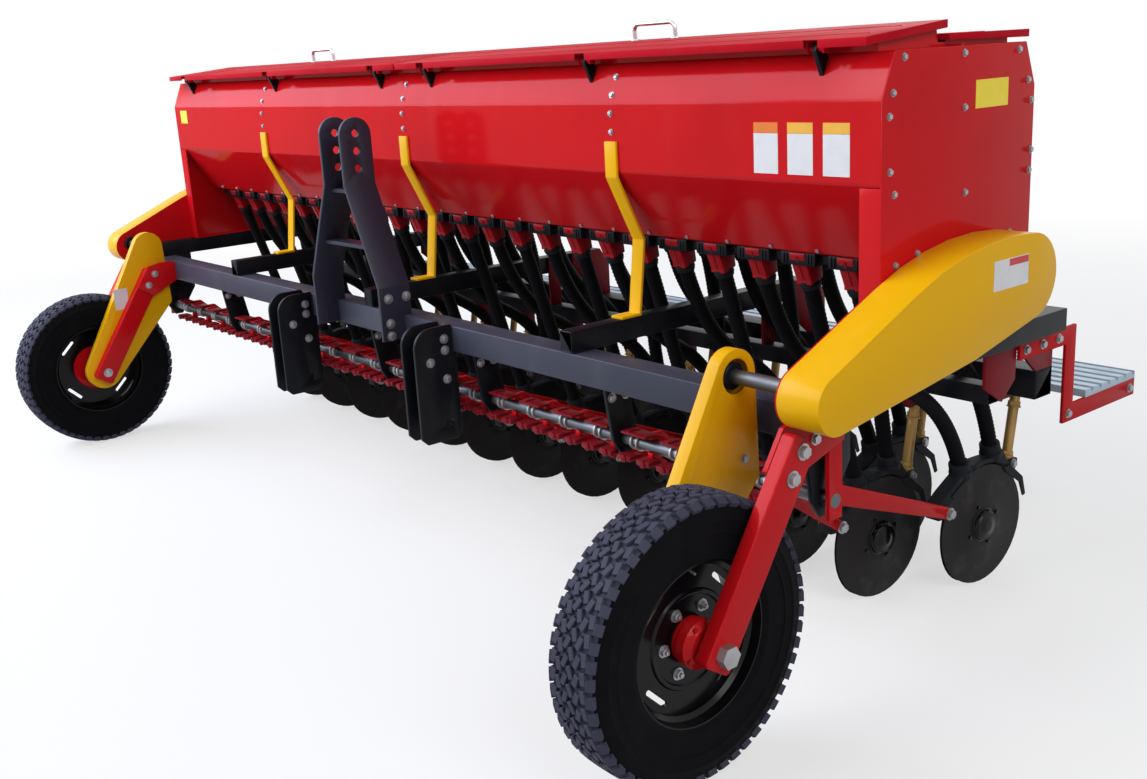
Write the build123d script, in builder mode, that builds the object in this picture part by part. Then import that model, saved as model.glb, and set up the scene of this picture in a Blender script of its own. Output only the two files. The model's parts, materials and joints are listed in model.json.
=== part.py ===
from build123d import *
import math
import os

# Seed and fertiliser drill for a tractor's three-point linkage.
# Millimetres. X runs across the machine, the tractor is towards -Y, Z is up.
# The origin is on the ground, under the middle of the machine's box.

os.makedirs("parts", exist_ok=True)

# ---------------------------------------------------------------- driving dimensions
HALF_DEPTH = 1080.0      # front of the tyres and rear of the step, each side of Y = 0
CLEAR = 0.05             # radial clearance of a shaft in its bore
SHEET = 4.0              # folded sheet metal

ROW_PITCH = 150.0
ROW_MARGIN = 125.0           # last row in from the hopper's end, at least

BEAM = 80.0              # square tube of the front beam and of the rear toolbar
BEAM_WALL = 6.0
BEAM_FRONT_Y = -405.0
BEAM_TOP_Z = 755.0
BEAM_END_IN = 17.0       # the beam stops this far inside the hopper's end

RAIL = 60.0              # lengthwise rails on top of the beam
RAIL_WALL = 5.0
RAIL_REAR_Y = 588.0
INNER_RAIL_WIDTH = 50.0
INNER_RAIL_X = 1050.0

HOPPER_LENGTH = 3860.0
HOPPER_TOP_Z = 1501.0
HOPPER_SHOULDER_Z = 1400.0   # foot of the sloping shoulder
HOPPER_BAND_Z = 1220.0       # foot of the upright band
HOPPER_FLOOR_Z = 1027.0
HOPPER_FRONT_Y = -208.0
HOPPER_REAR_Y = 383.0
HOPPER_SHOULDER_IN = 42.0    # how far the top stands in from the face
HOPPER_SLOPE_IN = 132.0      # how far the floor stands in from the face
HOPPER_TOP_LIP = 26.0
FLOOR_WIDTH = 76.0           # flat floor of each trough
END_FLANGE = 60.0
RIDGE_Z = 1184.0             # top of the ridge between the two troughs

LID_SHEET = 3.0
LID_GAP = 8.0                # between neighbouring lids
LID_END_IN = 30.0            # lid's end in from the hopper's end
LID_REST = 5.0               # partition below the lids' skirts
LID_LIP = 18.0
LID_FRONT_Z = 1532.0         # top of the front lids at their hinged edge
LID_RISE = 28.0              # by which the front lids climb to their ridge
LID_RIDGE_IN = 22.0          # ridge this far before the middle
LID_REAR_Z = 1529.0
HANDLE_IN = 20.0             # handle this far before the ridge
LID_FACE_OUT = 17.0          # lid's lip out from the hopper's face
HINGE_PIN_R = 6.0
HINGE_OUT = 34.0             # hinge axis out from the hopper's top corner
HINGE_UP = 11.0
HINGE_PLATE = 12.0
HINGE_NOTCH = 40.0           # gap in the lid's lip at each hinge
HANDLE_X = 965.0
HANDLE_LENGTH = 165.0
HANDLE_RISE = 44.0
HANDLE_R = 6.0

METER_WIDTH = 112.0
METER_DEPTH = 66.0
METER_HEIGHT = 62.0
METER_CASE = 34.0            # height of the wide housing over the spout
SPOUT_WIDTH = 50.0
SPOUT_OUT = 14.0             # spout's mouth from the housing's middle
SPOUT_DROP = 18.0
METER_SHAFT = 22.0           # square feed shaft through the meters

STRUT_WIDTH = 46.0
STRUT_THICK = 8.0
STRUT_LAP = 80.0             # strap up the hopper's band
STRUT_KNEE = 14.0
STRUT_SHIN = 44.0            # strap's middle and lower bend before the trough
STRUT_ANKLE = 70.0
STRUT_FOOT = 74.0

TYRE_R = 322.0
TYRE_WIDTH = 146.0
TYRE_TREAD_WIDTH = 112.0
TYRE_SHOULDER = 46.0         # depth of the rounded shoulders
TYRE_BEAD_R = 186.0
RIM_WIDTH = 116.0
RIM_SHEET = 6.0
RIM_DISC_X = 14.0            # wheel disc out from the wheel's middle plane
RIM_SLOTS = 4
RIM_SLOT_R = 143.0
RIM_SLOT_LENGTH = 130.0
RIM_SLOT_WIDTH = 28.0
WHEEL_IN = 89.0              # wheel's middle in from the hopper's end
HUB_R = 52.0
HUB_LENGTH = 140.0
HUB_FLANGE_R = 94.0
HUB_FLANGE = 12.0
AXLE_R = 18.0

LEG_WIDTH = 80.0
LEG_THICK = 38.0
LEG_CORNER_R = 12.0
LEG_GAP = 11.0               # outer leg to the tyre's side wall
CASE_GAP = 8.0               # chain case to the tyre's side wall
LEG_TOP_Y = -509.0
LEG_TOP_Z = 700.0
LEG_PLATE = 12.0
LEG_PLATE_REACH = 70.0       # plate beyond the leg's top bolt, down and up the leg
DROP_BAR = 44.0              # bar from the beam's end down to the hinge shaft
AXLE_NUT_R = 26.0
AXLE_NUT = 22.0

CASE_THICK = 36.0            # inner chain case, from the wheel to the cross shaft
CASE_TOP_R = 62.0
CASE_FOOT_R = 74.0
CASE_HEEL_Y = -422.0
CASE_HEEL_Z = 584.0
CASE_HEEL_R = 20.0
CASE_EYE_R = 40.0
CROSS_SHAFT_R = 17.0
CROSS_SHAFT_Y = -493.0
CROSS_SHAFT_Z = 826.0

GUARD_THICK = 112.0          # outer chain guard, from the cross shaft to the meters
GUARD_PLATE = 4.0
GUARD_FRONT_R = 66.0
GUARD_FRONT_Z = 812.0
GUARD_REAR_R = 103.0
GUARD_REAR_Y = 215.0
GUARD_REAR_Z = 968.0
GUARD_CROWN_R = 900.0        # the long curve of the guard's top
GUARD_CROWN_TURN = 24.0      # degrees that it turns through
GUARD_CROWN_IN = 85.0        # its highest point before the rear end's middle
GUARD_CORNER_R = 40.0
GUARD_HEEL_Y = -16.0
GUARD_HEEL_Z = 811.0

HINGE_SHAFT_R = 17.0         # shaft that the drag arms hang on
HINGE_SHAFT_Y = -340.0
HINGE_SHAFT_Z = 530.0
HANGER_PLATE = 12.0
HANGER_EYE = 26.0            # metal round the shaft
HANGER_BRACE = 75.0          # end hanger up behind the beam
HANGER_ROWS = 4              # a hanger after so many rows

DISC_R = 175.0
DISC_SIDES = 24
DISC_THICK = 4.0
DISC_TOE = 4.0               # degrees that each disc is toed in
DISC_HALF_GAP = 15.0
DISC_BOSS_R = 30.0
DISC_CAP = 24.0
FRONT_ROW_Y = 250.0          # disc centres of the two ranks
REAR_ROW_Y = 520.0
BODY_WIDTH = 44.0            # opener body over the discs
BODY_WEB = 10.0
BODY_WEB_HALF = 70.0         # half its width under the arch
BODY_CLEAR = 6.0             # body to the discs' edge
BODY_TOP = 15.0              # metal over the discs between the hose sockets
BODY_DIP = 20.0
BODY_NOSE = 33.0
ARM_THICK = 20.0
ARM_END_OUT = 21.0           # arm's rear bolt from the disc's edge
ARM_END_W = 94.0
ARM_END_HALF = 22.0
ARM_EYE = 18.0               # metal round the hinge shaft
ARM_FRONT_HALF = 30.0
ARM_DROP = 28.0              # arm's middle below the shaft behind the fork
ARM_REAR_HALF = 18.0

HOSE_R = 22.0
HOSE_SIDES = 6
HOSE_FRONT_LEAN = 18.0       # degrees off the vertical at the front hose's two ends
HOSE_REAR_LEAN = 15.0
FRONT_SOCKET_U = -90.0       # hose sockets from the disc centre
FRONT_SOCKET_UP = 5.0        # from the disc's top edge
REAR_SOCKET_U = 57.0
REAR_SOCKET_UP = 25.0

TOOLBAR_FRONT_Y = 550.0
TOOLBAR_TOP_Z = 640.0
SUBBAR = 50.0                # square tube that holds the front rank's rods
SUBBAR_FRONT_Y = 340.0
BAR_WALL = 4.0
RISER_PLATE = 10.0
RISER_HEM = 30.0
ROD_R = 15.0
ROD_SIDES = 8
ROD_FOOT_IN = 35.0           # rod's foot in from the disc's rear edge
ROD_FOOT_DROP = 15.0         # and below its top edge
ROD_LEAN = 35.0              # rod's top behind its foot
ROD_SEAT = 24.0
ROD_TOP_Z = 520.0
ROD_BRACKET = 16.0

STEP_BAR = 50.0
STEP_BAR_THICK = 10.0
STEP_FOOT_Z = 463.0
STEP_PLANK = 22.0
STEP_FRONT_Y = 800.0
STEP_RIBS = 6
STEP_POST_Y = 682.0
STEP_TOP_Z = 740.0
STEP_ARM_OUT = 98.0          # upper arm's front end before the toolbar
STEP_MID_X = 600.0

TOWER_X = 60.0               # mast plates at the top
TOWER_FOOT_X = 210.0
TOWER_PLATE = 12.0
TOWER_WIDTH = 112.0
TOWER_Y = -431.0
TOWER_TOP_Z = 1378.0
TOWER_KNEE_Z = 1165.0
TOWER_ANKLE_Z = 850.0
TOWER_FOOT_Z = 680.0
TOP_LINK_R = 12.5
TOP_LINK_DROP = 50.0
TOP_LINK_PITCH = 55.0
TOWER_BAR = 60.0
TOWER_BAR_THICK = 12.0
TOWER_BAR_DROPS = (20.0, 195.0)  # cross bars below the knee

LOWER_HITCH_X = 450.0
LOWER_HITCH_GAP = 60.0
LOWER_PLATE = 12.0
LOWER_DEPTH = 135.0
LOWER_TOP_Z = 760.0
LOWER_FOOT_Z = 400.0
LOWER_NOSE_R = 60.0
LOWER_TOE = 20.0             # corners cut off at the foot
LOWER_HEEL = 12.0            # plate's rear edge under the beam
LOWER_PIN_R = 14.5
LOWER_PIN_OUT = 28.0         # pin before the beam's face
LOWER_PIN_UP = 50.0          # and above the plate's foot

# ---------------------------------------------------------------- worked-out places
HOPPER_HALF = HOPPER_LENGTH / 2
ROWS = 2 * int((HOPPER_HALF - ROW_MARGIN) / ROW_PITCH)
HOPPER_MID_Y = (HOPPER_FRONT_Y + HOPPER_REAR_Y) / 2
BEAM_HALF = HOPPER_HALF - BEAM_END_IN
BEAM_REAR_Y = BEAM_FRONT_Y + BEAM
BEAM_FOOT_Z = BEAM_TOP_Z - BEAM
RAIL_TOP_Z = BEAM_TOP_Z + RAIL
RAIL_X = HOPPER_HALF - RAIL / 2
RAIL_INNER_X = HOPPER_HALF - RAIL
WHEEL_Y = -HALF_DEPTH + TYRE_R
WHEEL_Z = TYRE_R
WHEEL_X = HOPPER_HALF - WHEEL_IN
LEG_OUTER_X = WHEEL_X + TYRE_WIDTH / 2 + LEG_GAP
CASE_X = WHEEL_X - TYRE_WIDTH / 2 - CASE_GAP
CASE_INNER_X = CASE_X - CASE_THICK
LEG_INNER_X = CASE_INNER_X - LEG_THICK
ARM_END_U = -DISC_R - ARM_END_OUT
FRONT_SOCKET_W = DISC_R + FRONT_SOCKET_UP
REAR_SOCKET_W = DISC_R + REAR_SOCKET_UP
ROD_FOOT_U = DISC_R - ROD_FOOT_IN
ROD_FOOT_W = DISC_R - ROD_FOOT_DROP
ROD_TOP_U = ROD_FOOT_U + ROD_LEAN
SIDES = (("left", -1), ("right", 1))
row_xs = [(i - (ROWS - 1) / 2) * ROW_PITCH for i in range(ROWS)]
# the two ranks take turns along the machine
front_rows = row_xs[0::2]
rear_rows = row_xs[1::2]


def save(piece, label):
    """Names a finished piece and writes it as one STEP file."""
    piece.part.label = label
    export_step(piece.part, f"parts/{label}.step")


def plate(points, x_low, x_high):
    """A flat plate that stands along the machine, from its outline in Y and Z."""
    with BuildSketch(Plane.YZ.offset(x_low)) as outline:
        with BuildLine():
            Polyline(*points, close=True)
        make_face()
    extrude(outline.sketch, amount=x_high - x_low)


def folded(points, thickness, x_low, x_high, side=Side.LEFT):
    """A folded sheet across the machine, from its section in Y and Z."""
    with BuildSketch(Plane.YZ.offset(x_low)) as section:
        with BuildLine():
            bend = Polyline(*points)
            offset(bend, amount=thickness, side=side)
        make_face()
    extrude(section.sketch, amount=x_high - x_low)


def rounded(corners, x_low, x_high, shrink=0.0, mode=Mode.ADD):
    """A flat body with round corners: the hull of circles given as Y, Z and radius."""
    with BuildSketch(Plane.YZ.offset(x_low)) as outline:
        for y, z, r in corners:
            with Locations((y, z)):
                Circle(r - shrink)
        make_hull()
    extrude(outline.sketch, amount=x_high - x_low, mode=mode)


def tube(y_low, z_low, size, wall, half_length):
    """A square tube across the machine."""
    with BuildSketch(Plane.YZ.offset(-half_length)) as section:
        with Locations((y_low + size / 2, z_low + size / 2)):
            Rectangle(size, size)
            Rectangle(size - 2 * wall, size - 2 * wall, mode=Mode.SUBTRACT)
    extrude(section.sketch, amount=2 * half_length)


# ---------------------------------------------------------------- frame
with BuildPart() as front_beam:
    tube(BEAM_FRONT_Y, BEAM_FOOT_Z, BEAM, BEAM_WALL, BEAM_HALF)
save(front_beam, "front_beam")

for label, width, xs in (
    ("side_rails", RAIL, (-RAIL_X, RAIL_X)),
    ("inner_rails", INNER_RAIL_WIDTH, (-INNER_RAIL_X, 0, INNER_RAIL_X)),
):
    with BuildPart() as rails:
        with BuildSketch(Plane.XZ.offset(-RAIL_REAR_Y)):
            with Locations(*[(x, BEAM_TOP_Z + RAIL / 2) for x in xs]):
                Rectangle(width, RAIL)
                Rectangle(width - 2 * RAIL_WALL, RAIL - 2 * RAIL_WALL, mode=Mode.SUBTRACT)
        extrude(amount=RAIL_REAR_Y - BEAM_FRONT_Y)
    save(rails, label)

with BuildPart() as toolbar:
    tube(TOOLBAR_FRONT_Y, TOOLBAR_TOP_Z - BEAM, BEAM, BAR_WALL, RAIL_INNER_X)
save(toolbar, "toolbar")

with BuildPart() as subbar:
    tube(SUBBAR_FRONT_Y, TOOLBAR_TOP_Z - SUBBAR, SUBBAR, BAR_WALL, RAIL_INNER_X - RISER_PLATE)
save(subbar, "subbar")

# plates beside the rails that carry the toolbar and the bar before it
with BuildPart() as risers:
    toolbar_rear_y = TOOLBAR_FRONT_Y + BEAM
    step_arm_front_y = TOOLBAR_FRONT_Y - STEP_ARM_OUT
    subbar_rear_y = SUBBAR_FRONT_Y + SUBBAR
    wide = [(step_arm_front_y, RAIL_TOP_Z), (step_arm_front_y, BEAM_TOP_Z - RISER_HEM),
            (TOOLBAR_FRONT_Y, TOOLBAR_TOP_Z), (toolbar_rear_y, TOOLBAR_TOP_Z),
            (toolbar_rear_y, BEAM_TOP_Z), (RAIL_REAR_Y, RAIL_TOP_Z)]
    narrow = [(SUBBAR_FRONT_Y, RAIL_TOP_Z), (SUBBAR_FRONT_Y, TOOLBAR_TOP_Z),
              (subbar_rear_y, TOOLBAR_TOP_Z), (subbar_rear_y, RAIL_TOP_Z)]
    # at the rails' ends the plate widens into a bracket that closes the bar
    closing = [(SUBBAR_FRONT_Y - RISER_HEM, RAIL_TOP_Z), (SUBBAR_FRONT_Y - RISER_HEM, TOOLBAR_TOP_Z),
               (subbar_rear_y, TOOLBAR_TOP_Z - SUBBAR), (subbar_rear_y + 2 * RISER_HEM, TOOLBAR_TOP_Z),
               (step_arm_front_y, BEAM_TOP_Z - RISER_HEM), (step_arm_front_y, RAIL_TOP_Z)]
    inner_xs = [x + INNER_RAIL_WIDTH / 2 for x in (-INNER_RAIL_X, 0, INNER_RAIL_X)]
    for x in inner_xs:
        plate(narrow, x, x + RISER_PLATE)
        plate(wide, x, x + RISER_PLATE)
    for x in (-RAIL_INNER_X, RAIL_INNER_X - RISER_PLATE):
        plate(closing, x, x + RISER_PLATE)
        plate(wide, x, x + RISER_PLATE)
save(risers, "risers")

# ---------------------------------------------------------------- hopper
floor_front_y = HOPPER_FRONT_Y + HOPPER_SLOPE_IN
hopper_top_y = HOPPER_FRONT_Y + HOPPER_SHOULDER_IN
front_wall = [(hopper_top_y + HOPPER_TOP_LIP, HOPPER_TOP_Z), (hopper_top_y, HOPPER_TOP_Z),
              (HOPPER_FRONT_Y, HOPPER_SHOULDER_Z), (HOPPER_FRONT_Y, HOPPER_BAND_Z),
              (floor_front_y, HOPPER_FLOOR_Z), (floor_front_y + FLOOR_WIDTH, HOPPER_FLOOR_Z)]
rear_wall = [(2 * HOPPER_MID_Y - y, z) for y, z in front_wall]
sheet_half = HOPPER_HALF - SHEET
for label, wall, side in (("hopper_front", front_wall, Side.LEFT), ("hopper_rear", rear_wall, Side.RIGHT)):
    with BuildPart() as hopper_wall:
        folded(wall, SHEET, -sheet_half, sheet_half, side)
    save(hopper_wall, label)

with BuildPart() as hopper_partition:
    ridge_foot = HOPPER_FLOOR_Z + SHEET
    foot_out = HOPPER_MID_Y - floor_front_y - FLOOR_WIDTH + 10
    half = SHEET / 2
    partition_top_z = LID_REAR_Z - LID_LIP - LID_REST
    with BuildSketch(Plane(origin=(-sheet_half, HOPPER_MID_Y, 0), x_dir=(0, 1, 0), z_dir=(1, 0, 0))):
        with BuildLine():
            Polyline((-foot_out, ridge_foot), (-half, RIDGE_Z), (-half, partition_top_z),
                     (half, partition_top_z), (half, RIDGE_Z), (foot_out, ridge_foot),
                     (foot_out - 1.2 * SHEET, ridge_foot), (0, RIDGE_Z - 2 * SHEET),
                     (-foot_out + 1.2 * SHEET, ridge_foot), close=True)
        make_face()
    extrude(amount=2 * sheet_half)
save(hopper_partition, "hopper_partition")

for side_name, side in SIDES:
    with BuildPart() as hopper_end:
        outline = [(HOPPER_FRONT_Y, RAIL_TOP_Z), (HOPPER_REAR_Y, RAIL_TOP_Z),
                   (HOPPER_REAR_Y, HOPPER_SHOULDER_Z),
                   (HOPPER_REAR_Y - HOPPER_SHOULDER_IN, HOPPER_TOP_Z),
                   (hopper_top_y, HOPPER_TOP_Z), (HOPPER_FRONT_Y, HOPPER_SHOULDER_Z)]
        plate(outline, sheet_half, HOPPER_HALF)
        # flanges folded inwards along the top, along the foot and below the band
        flange_top = HOPPER_BAND_Z - 2 * SHEET
        flange_x = HOPPER_HALF - END_FLANGE
        plate([(HOPPER_FRONT_Y, RAIL_TOP_Z), (HOPPER_REAR_Y, RAIL_TOP_Z),
               (HOPPER_REAR_Y, RAIL_TOP_Z + SHEET), (HOPPER_FRONT_Y, RAIL_TOP_Z + SHEET)],
              flange_x, HOPPER_HALF)
        lip_y = hopper_top_y + HOPPER_TOP_LIP
        for y_low, y_high in ((lip_y, HOPPER_MID_Y - half), (HOPPER_MID_Y + half, 2 * HOPPER_MID_Y - lip_y)):
            plate([(y_low, HOPPER_TOP_Z - SHEET), (y_high, HOPPER_TOP_Z - SHEET),
                   (y_high, HOPPER_TOP_Z), (y_low, HOPPER_TOP_Z)], flange_x, HOPPER_HALF)
        for y in (HOPPER_FRONT_Y, HOPPER_REAR_Y - SHEET):
            plate([(y, RAIL_TOP_Z), (y + SHEET, RAIL_TOP_Z), (y + SHEET, flange_top), (y, flange_top)],
                  flange_x, HOPPER_HALF)
        if side < 0:
            mirror(about=Plane.YZ, mode=Mode.REPLACE)
    save(hopper_end, f"hopper_end_{side_name}")

with BuildPart() as struts:
    strap = [(HOPPER_FRONT_Y, HOPPER_BAND_Z + STRUT_LAP), (HOPPER_FRONT_Y, HOPPER_BAND_Z - STRUT_KNEE),
             (floor_front_y - STRUT_SHIN, HOPPER_FLOOR_Z), (floor_front_y - STRUT_ANKLE, RAIL_TOP_Z),
             (floor_front_y - STRUT_ANKLE - STRUT_FOOT, RAIL_TOP_Z)]
    for x in (-INNER_RAIL_X, 0, INNER_RAIL_X):
        folded(strap, STRUT_THICK, x - STRUT_WIDTH / 2, x + STRUT_WIDTH / 2, Side.RIGHT)
save(struts, "struts")

# ---------------------------------------------------------------- metering
floor_mid_front_y = floor_front_y + FLOOR_WIDTH / 2
floor_mid_rear_y = 2 * HOPPER_MID_Y - floor_mid_front_y
meter_foot_z = HOPPER_FLOOR_Z - METER_HEIGHT
# columns: label, middle of the floor, lean of its hoses in degrees, side to which the spout leans
meter_table = (
    ("front_meters", floor_mid_front_y, HOSE_FRONT_LEAN, 1),
    ("rear_meters", floor_mid_rear_y, HOSE_REAR_LEAN, 0),
)
hose_tops = {}
for label, mid_y, lean, lean_side in meter_table:
    # the outlet's face is square to the hose that leaves it
    drop = Vector(math.sin(math.radians(lean)), -math.cos(math.radians(lean)))
    across = Vector(math.cos(math.radians(lean)), math.sin(math.radians(lean)))
    outlet = Vector(mid_y + SPOUT_OUT * lean_side, meter_foot_z - SPOUT_DROP)
    hose_tops[label] = (outlet, drop)
    near = outlet - across * (HOSE_R + 3)
    far = outlet + across * (HOSE_R + 3)
    case_foot_z = HOPPER_FLOOR_Z - METER_CASE
    back_y = mid_y + METER_DEPTH / 2
    with BuildPart() as meters:
        for x in row_xs:
            plate([(back_y - METER_DEPTH, HOPPER_FLOOR_Z), (back_y, HOPPER_FLOOR_Z),
                   (back_y, case_foot_z), (back_y - METER_DEPTH, case_foot_z)],
                  x - METER_WIDTH / 2, x + METER_WIDTH / 2)
            plate([(mid_y - FLOOR_WIDTH / 2, HOPPER_FLOOR_Z), (back_y, HOPPER_FLOOR_Z),
                   (back_y, case_foot_z), (far.X, far.Y), (near.X, near.Y)],
                  x - SPOUT_WIDTH / 2, x + SPOUT_WIDTH / 2)
        with Locations((0, mid_y, HOPPER_FLOOR_Z - METER_CASE / 2)):
            Box(2 * RAIL_INNER_X, METER_SHAFT, METER_SHAFT)
    save(meters, label)

# ---------------------------------------------------------------- hitch
with BuildPart() as hitch_tower:
    tower_front_y = TOWER_Y - TOWER_WIDTH / 2
    # each mast plate is folded outwards at the knee and straight again at the ankle
    for side in (-1, 1):
        with BuildSketch(Plane.XZ.offset(-TOWER_Y - TOWER_WIDTH / 2)):
            with BuildLine():
                bend = Polyline((side * TOWER_X, TOWER_TOP_Z), (side * TOWER_X, TOWER_KNEE_Z),
                                (side * TOWER_FOOT_X, TOWER_ANKLE_Z), (side * TOWER_FOOT_X, TOWER_FOOT_Z))
                offset(bend, amount=TOWER_PLATE, side=Side.RIGHT if side < 0 else Side.LEFT)
            make_face()
        extrude(amount=TOWER_WIDTH)
    # the beam's room, so that the plates stand on it and hook down its front
    with BuildSketch(Plane.YZ.offset(-TOWER_FOOT_X - 2 * TOWER_PLATE)):
        with Locations((BEAM_FRONT_Y + BEAM / 2, BEAM_TOP_Z - BEAM)):
            Rectangle(BEAM, 2 * BEAM)
    extrude(amount=2 * TOWER_FOOT_X + 4 * TOWER_PLATE, mode=Mode.SUBTRACT)
    top_edges = hitch_tower.edges().filter_by(Axis.X).group_by(Axis.Z)[-1]
    fillet(top_edges, TOWER_WIDTH / 2 - 1)
    for k in range(3):
        with BuildSketch(Plane.YZ.offset(-TOWER_X - 2 * TOWER_PLATE)):
            with Locations((TOWER_Y, TOWER_TOP_Z - TOP_LINK_DROP - k * TOP_LINK_PITCH)):
                Circle(TOP_LINK_R)
        extrude(amount=2 * TOWER_X + 4 * TOWER_PLATE, mode=Mode.SUBTRACT)
    # cross bars between the plates
    lean = (TOWER_FOOT_X - TOWER_X) / (TOWER_KNEE_Z - TOWER_ANKLE_Z)
    for drop in TOWER_BAR_DROPS:
        half = TOWER_X + drop * lean + TOWER_PLATE / 4
        with Locations((0, TOWER_Y, TOWER_KNEE_Z - drop)):
            Box(2 * half, TOWER_BAR, TOWER_BAR_THICK)
save(hitch_tower, "hitch_tower")

with BuildPart() as lower_hitch:
    hitch_y = BEAM_FRONT_Y - LOWER_DEPTH
    heel_y = BEAM_FRONT_Y + LOWER_HEEL
    pin_y = BEAM_FRONT_Y - LOWER_PIN_OUT
    pin_z = LOWER_FOOT_Z + LOWER_PIN_UP
    half = LOWER_HITCH_GAP / 2 + LOWER_PLATE
    for x in (-LOWER_HITCH_X, LOWER_HITCH_X):
        for face in (x - half, x + half - LOWER_PLATE):
            with BuildSketch(Plane.YZ.offset(face)):
                with BuildLine():
                    nose = CenterArc((hitch_y + LOWER_NOSE_R, LOWER_TOP_Z - LOWER_NOSE_R), LOWER_NOSE_R, 90, 90)
                    Polyline(nose @ 1, (hitch_y, LOWER_FOOT_Z + LOWER_TOE), (hitch_y + LOWER_TOE, LOWER_FOOT_Z),
                             (heel_y - LOWER_TOE, LOWER_FOOT_Z), (heel_y, LOWER_FOOT_Z + LOWER_TOE),
                             (heel_y, BEAM_FOOT_Z), (BEAM_FRONT_Y, BEAM_FOOT_Z),
                             (BEAM_FRONT_Y, LOWER_TOP_Z), nose @ 0)
                make_face()
            extrude(amount=LOWER_PLATE)
        # bores for the tractor's lower link pins
        with BuildSketch(Plane.YZ.offset(x - half)):
            with Locations((pin_y, pin_z)):
                Circle(LOWER_PIN_R)
        extrude(amount=2 * half, mode=Mode.SUBTRACT)
save(lower_hitch, "lower_hitch")

# ---------------------------------------------------------------- wheels, one body each side
for side_name, side in SIDES:
    axis_plane = Plane(origin=(side * WHEEL_X, WHEEL_Y, WHEEL_Z), x_dir=(0, 1, 0), z_dir=(side, 0, 0))

    with BuildPart() as tyre:
        with BuildSketch(Plane.XY):
            with BuildLine():
                Polyline((-TYRE_TREAD_WIDTH / 2, TYRE_R), (TYRE_TREAD_WIDTH / 2, TYRE_R),
                         (TYRE_WIDTH / 2, TYRE_R - TYRE_SHOULDER), (RIM_WIDTH / 2, TYRE_BEAD_R),
                         (-RIM_WIDTH / 2, TYRE_BEAD_R), (-TYRE_WIDTH / 2, TYRE_R - TYRE_SHOULDER), close=True)
            make_face()
        revolve(axis=Axis.X)
    tyre.part.position = (side * WHEEL_X, WHEEL_Y, WHEEL_Z)
    save(tyre, f"tyre_{side_name}")

    with BuildPart() as rim:
        with BuildSketch(Plane.XY):
            with BuildLine():
                Polyline((-RIM_WIDTH / 2, TYRE_BEAD_R), (RIM_WIDTH / 2, TYRE_BEAD_R),
                         (RIM_WIDTH / 2, TYRE_BEAD_R - RIM_SHEET), (-RIM_WIDTH / 2, TYRE_BEAD_R - RIM_SHEET),
                         close=True)
            make_face()
            with BuildLine():
                Polyline((RIM_DISC_X, HUB_R), (RIM_DISC_X + RIM_SHEET, HUB_R),
                         (RIM_DISC_X + RIM_SHEET, TYRE_BEAD_R - RIM_SHEET / 2),
                         (RIM_DISC_X, TYRE_BEAD_R - RIM_SHEET / 2), close=True)
            make_face()
        revolve(axis=Axis.X)
        with BuildSketch(Plane.YZ.offset(RIM_DISC_X)):
            with PolarLocations(RIM_SLOT_R, RIM_SLOTS, start_angle=180 / RIM_SLOTS):
                SlotOverall(RIM_SLOT_LENGTH, RIM_SLOT_WIDTH, rotation=90)
        extrude(amount=RIM_SHEET, mode=Mode.SUBTRACT)
        if side < 0:
            mirror(about=Plane.YZ, mode=Mode.REPLACE)
    rim.part.position = (side * WHEEL_X, WHEEL_Y, WHEEL_Z)
    save(rim, f"rim_{side_name}")

    with BuildPart() as hub:
        with BuildSketch(Plane.YZ.offset(-HUB_LENGTH / 2)):
            Circle(HUB_R)
        extrude(amount=HUB_LENGTH)
        with BuildSketch(Plane.YZ.offset(RIM_DISC_X - HUB_FLANGE)):
            Circle(HUB_FLANGE_R)
        extrude(amount=HUB_FLANGE)
        with BuildSketch(Plane.YZ.offset(-HUB_LENGTH / 2)):
            Circle(AXLE_R + CLEAR)
        extrude(amount=HUB_LENGTH, mode=Mode.SUBTRACT)
        if side < 0:
            mirror(about=Plane.YZ, mode=Mode.REPLACE)
    hub.part.position = (side * WHEEL_X, WHEEL_Y, WHEEL_Z)
    save(hub, f"hub_{side_name}")

# ---------------------------------------------------------------- wheel legs and drive
leg_outer_face = LEG_OUTER_X + LEG_THICK
leg_run = Vector(LEG_TOP_Y - WHEEL_Y, LEG_TOP_Z - WHEEL_Z).normalized()
leg_length = math.hypot(LEG_TOP_Y - WHEEL_Y, LEG_TOP_Z - WHEEL_Z)


def on_leg(along, out):
    """A point in Y and Z, from the distance up the leg from the axle and out to its front."""
    return (WHEEL_Y + along * leg_run.X - out * leg_run.Y, WHEEL_Z + along * leg_run.Y + out * leg_run.X)


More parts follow.
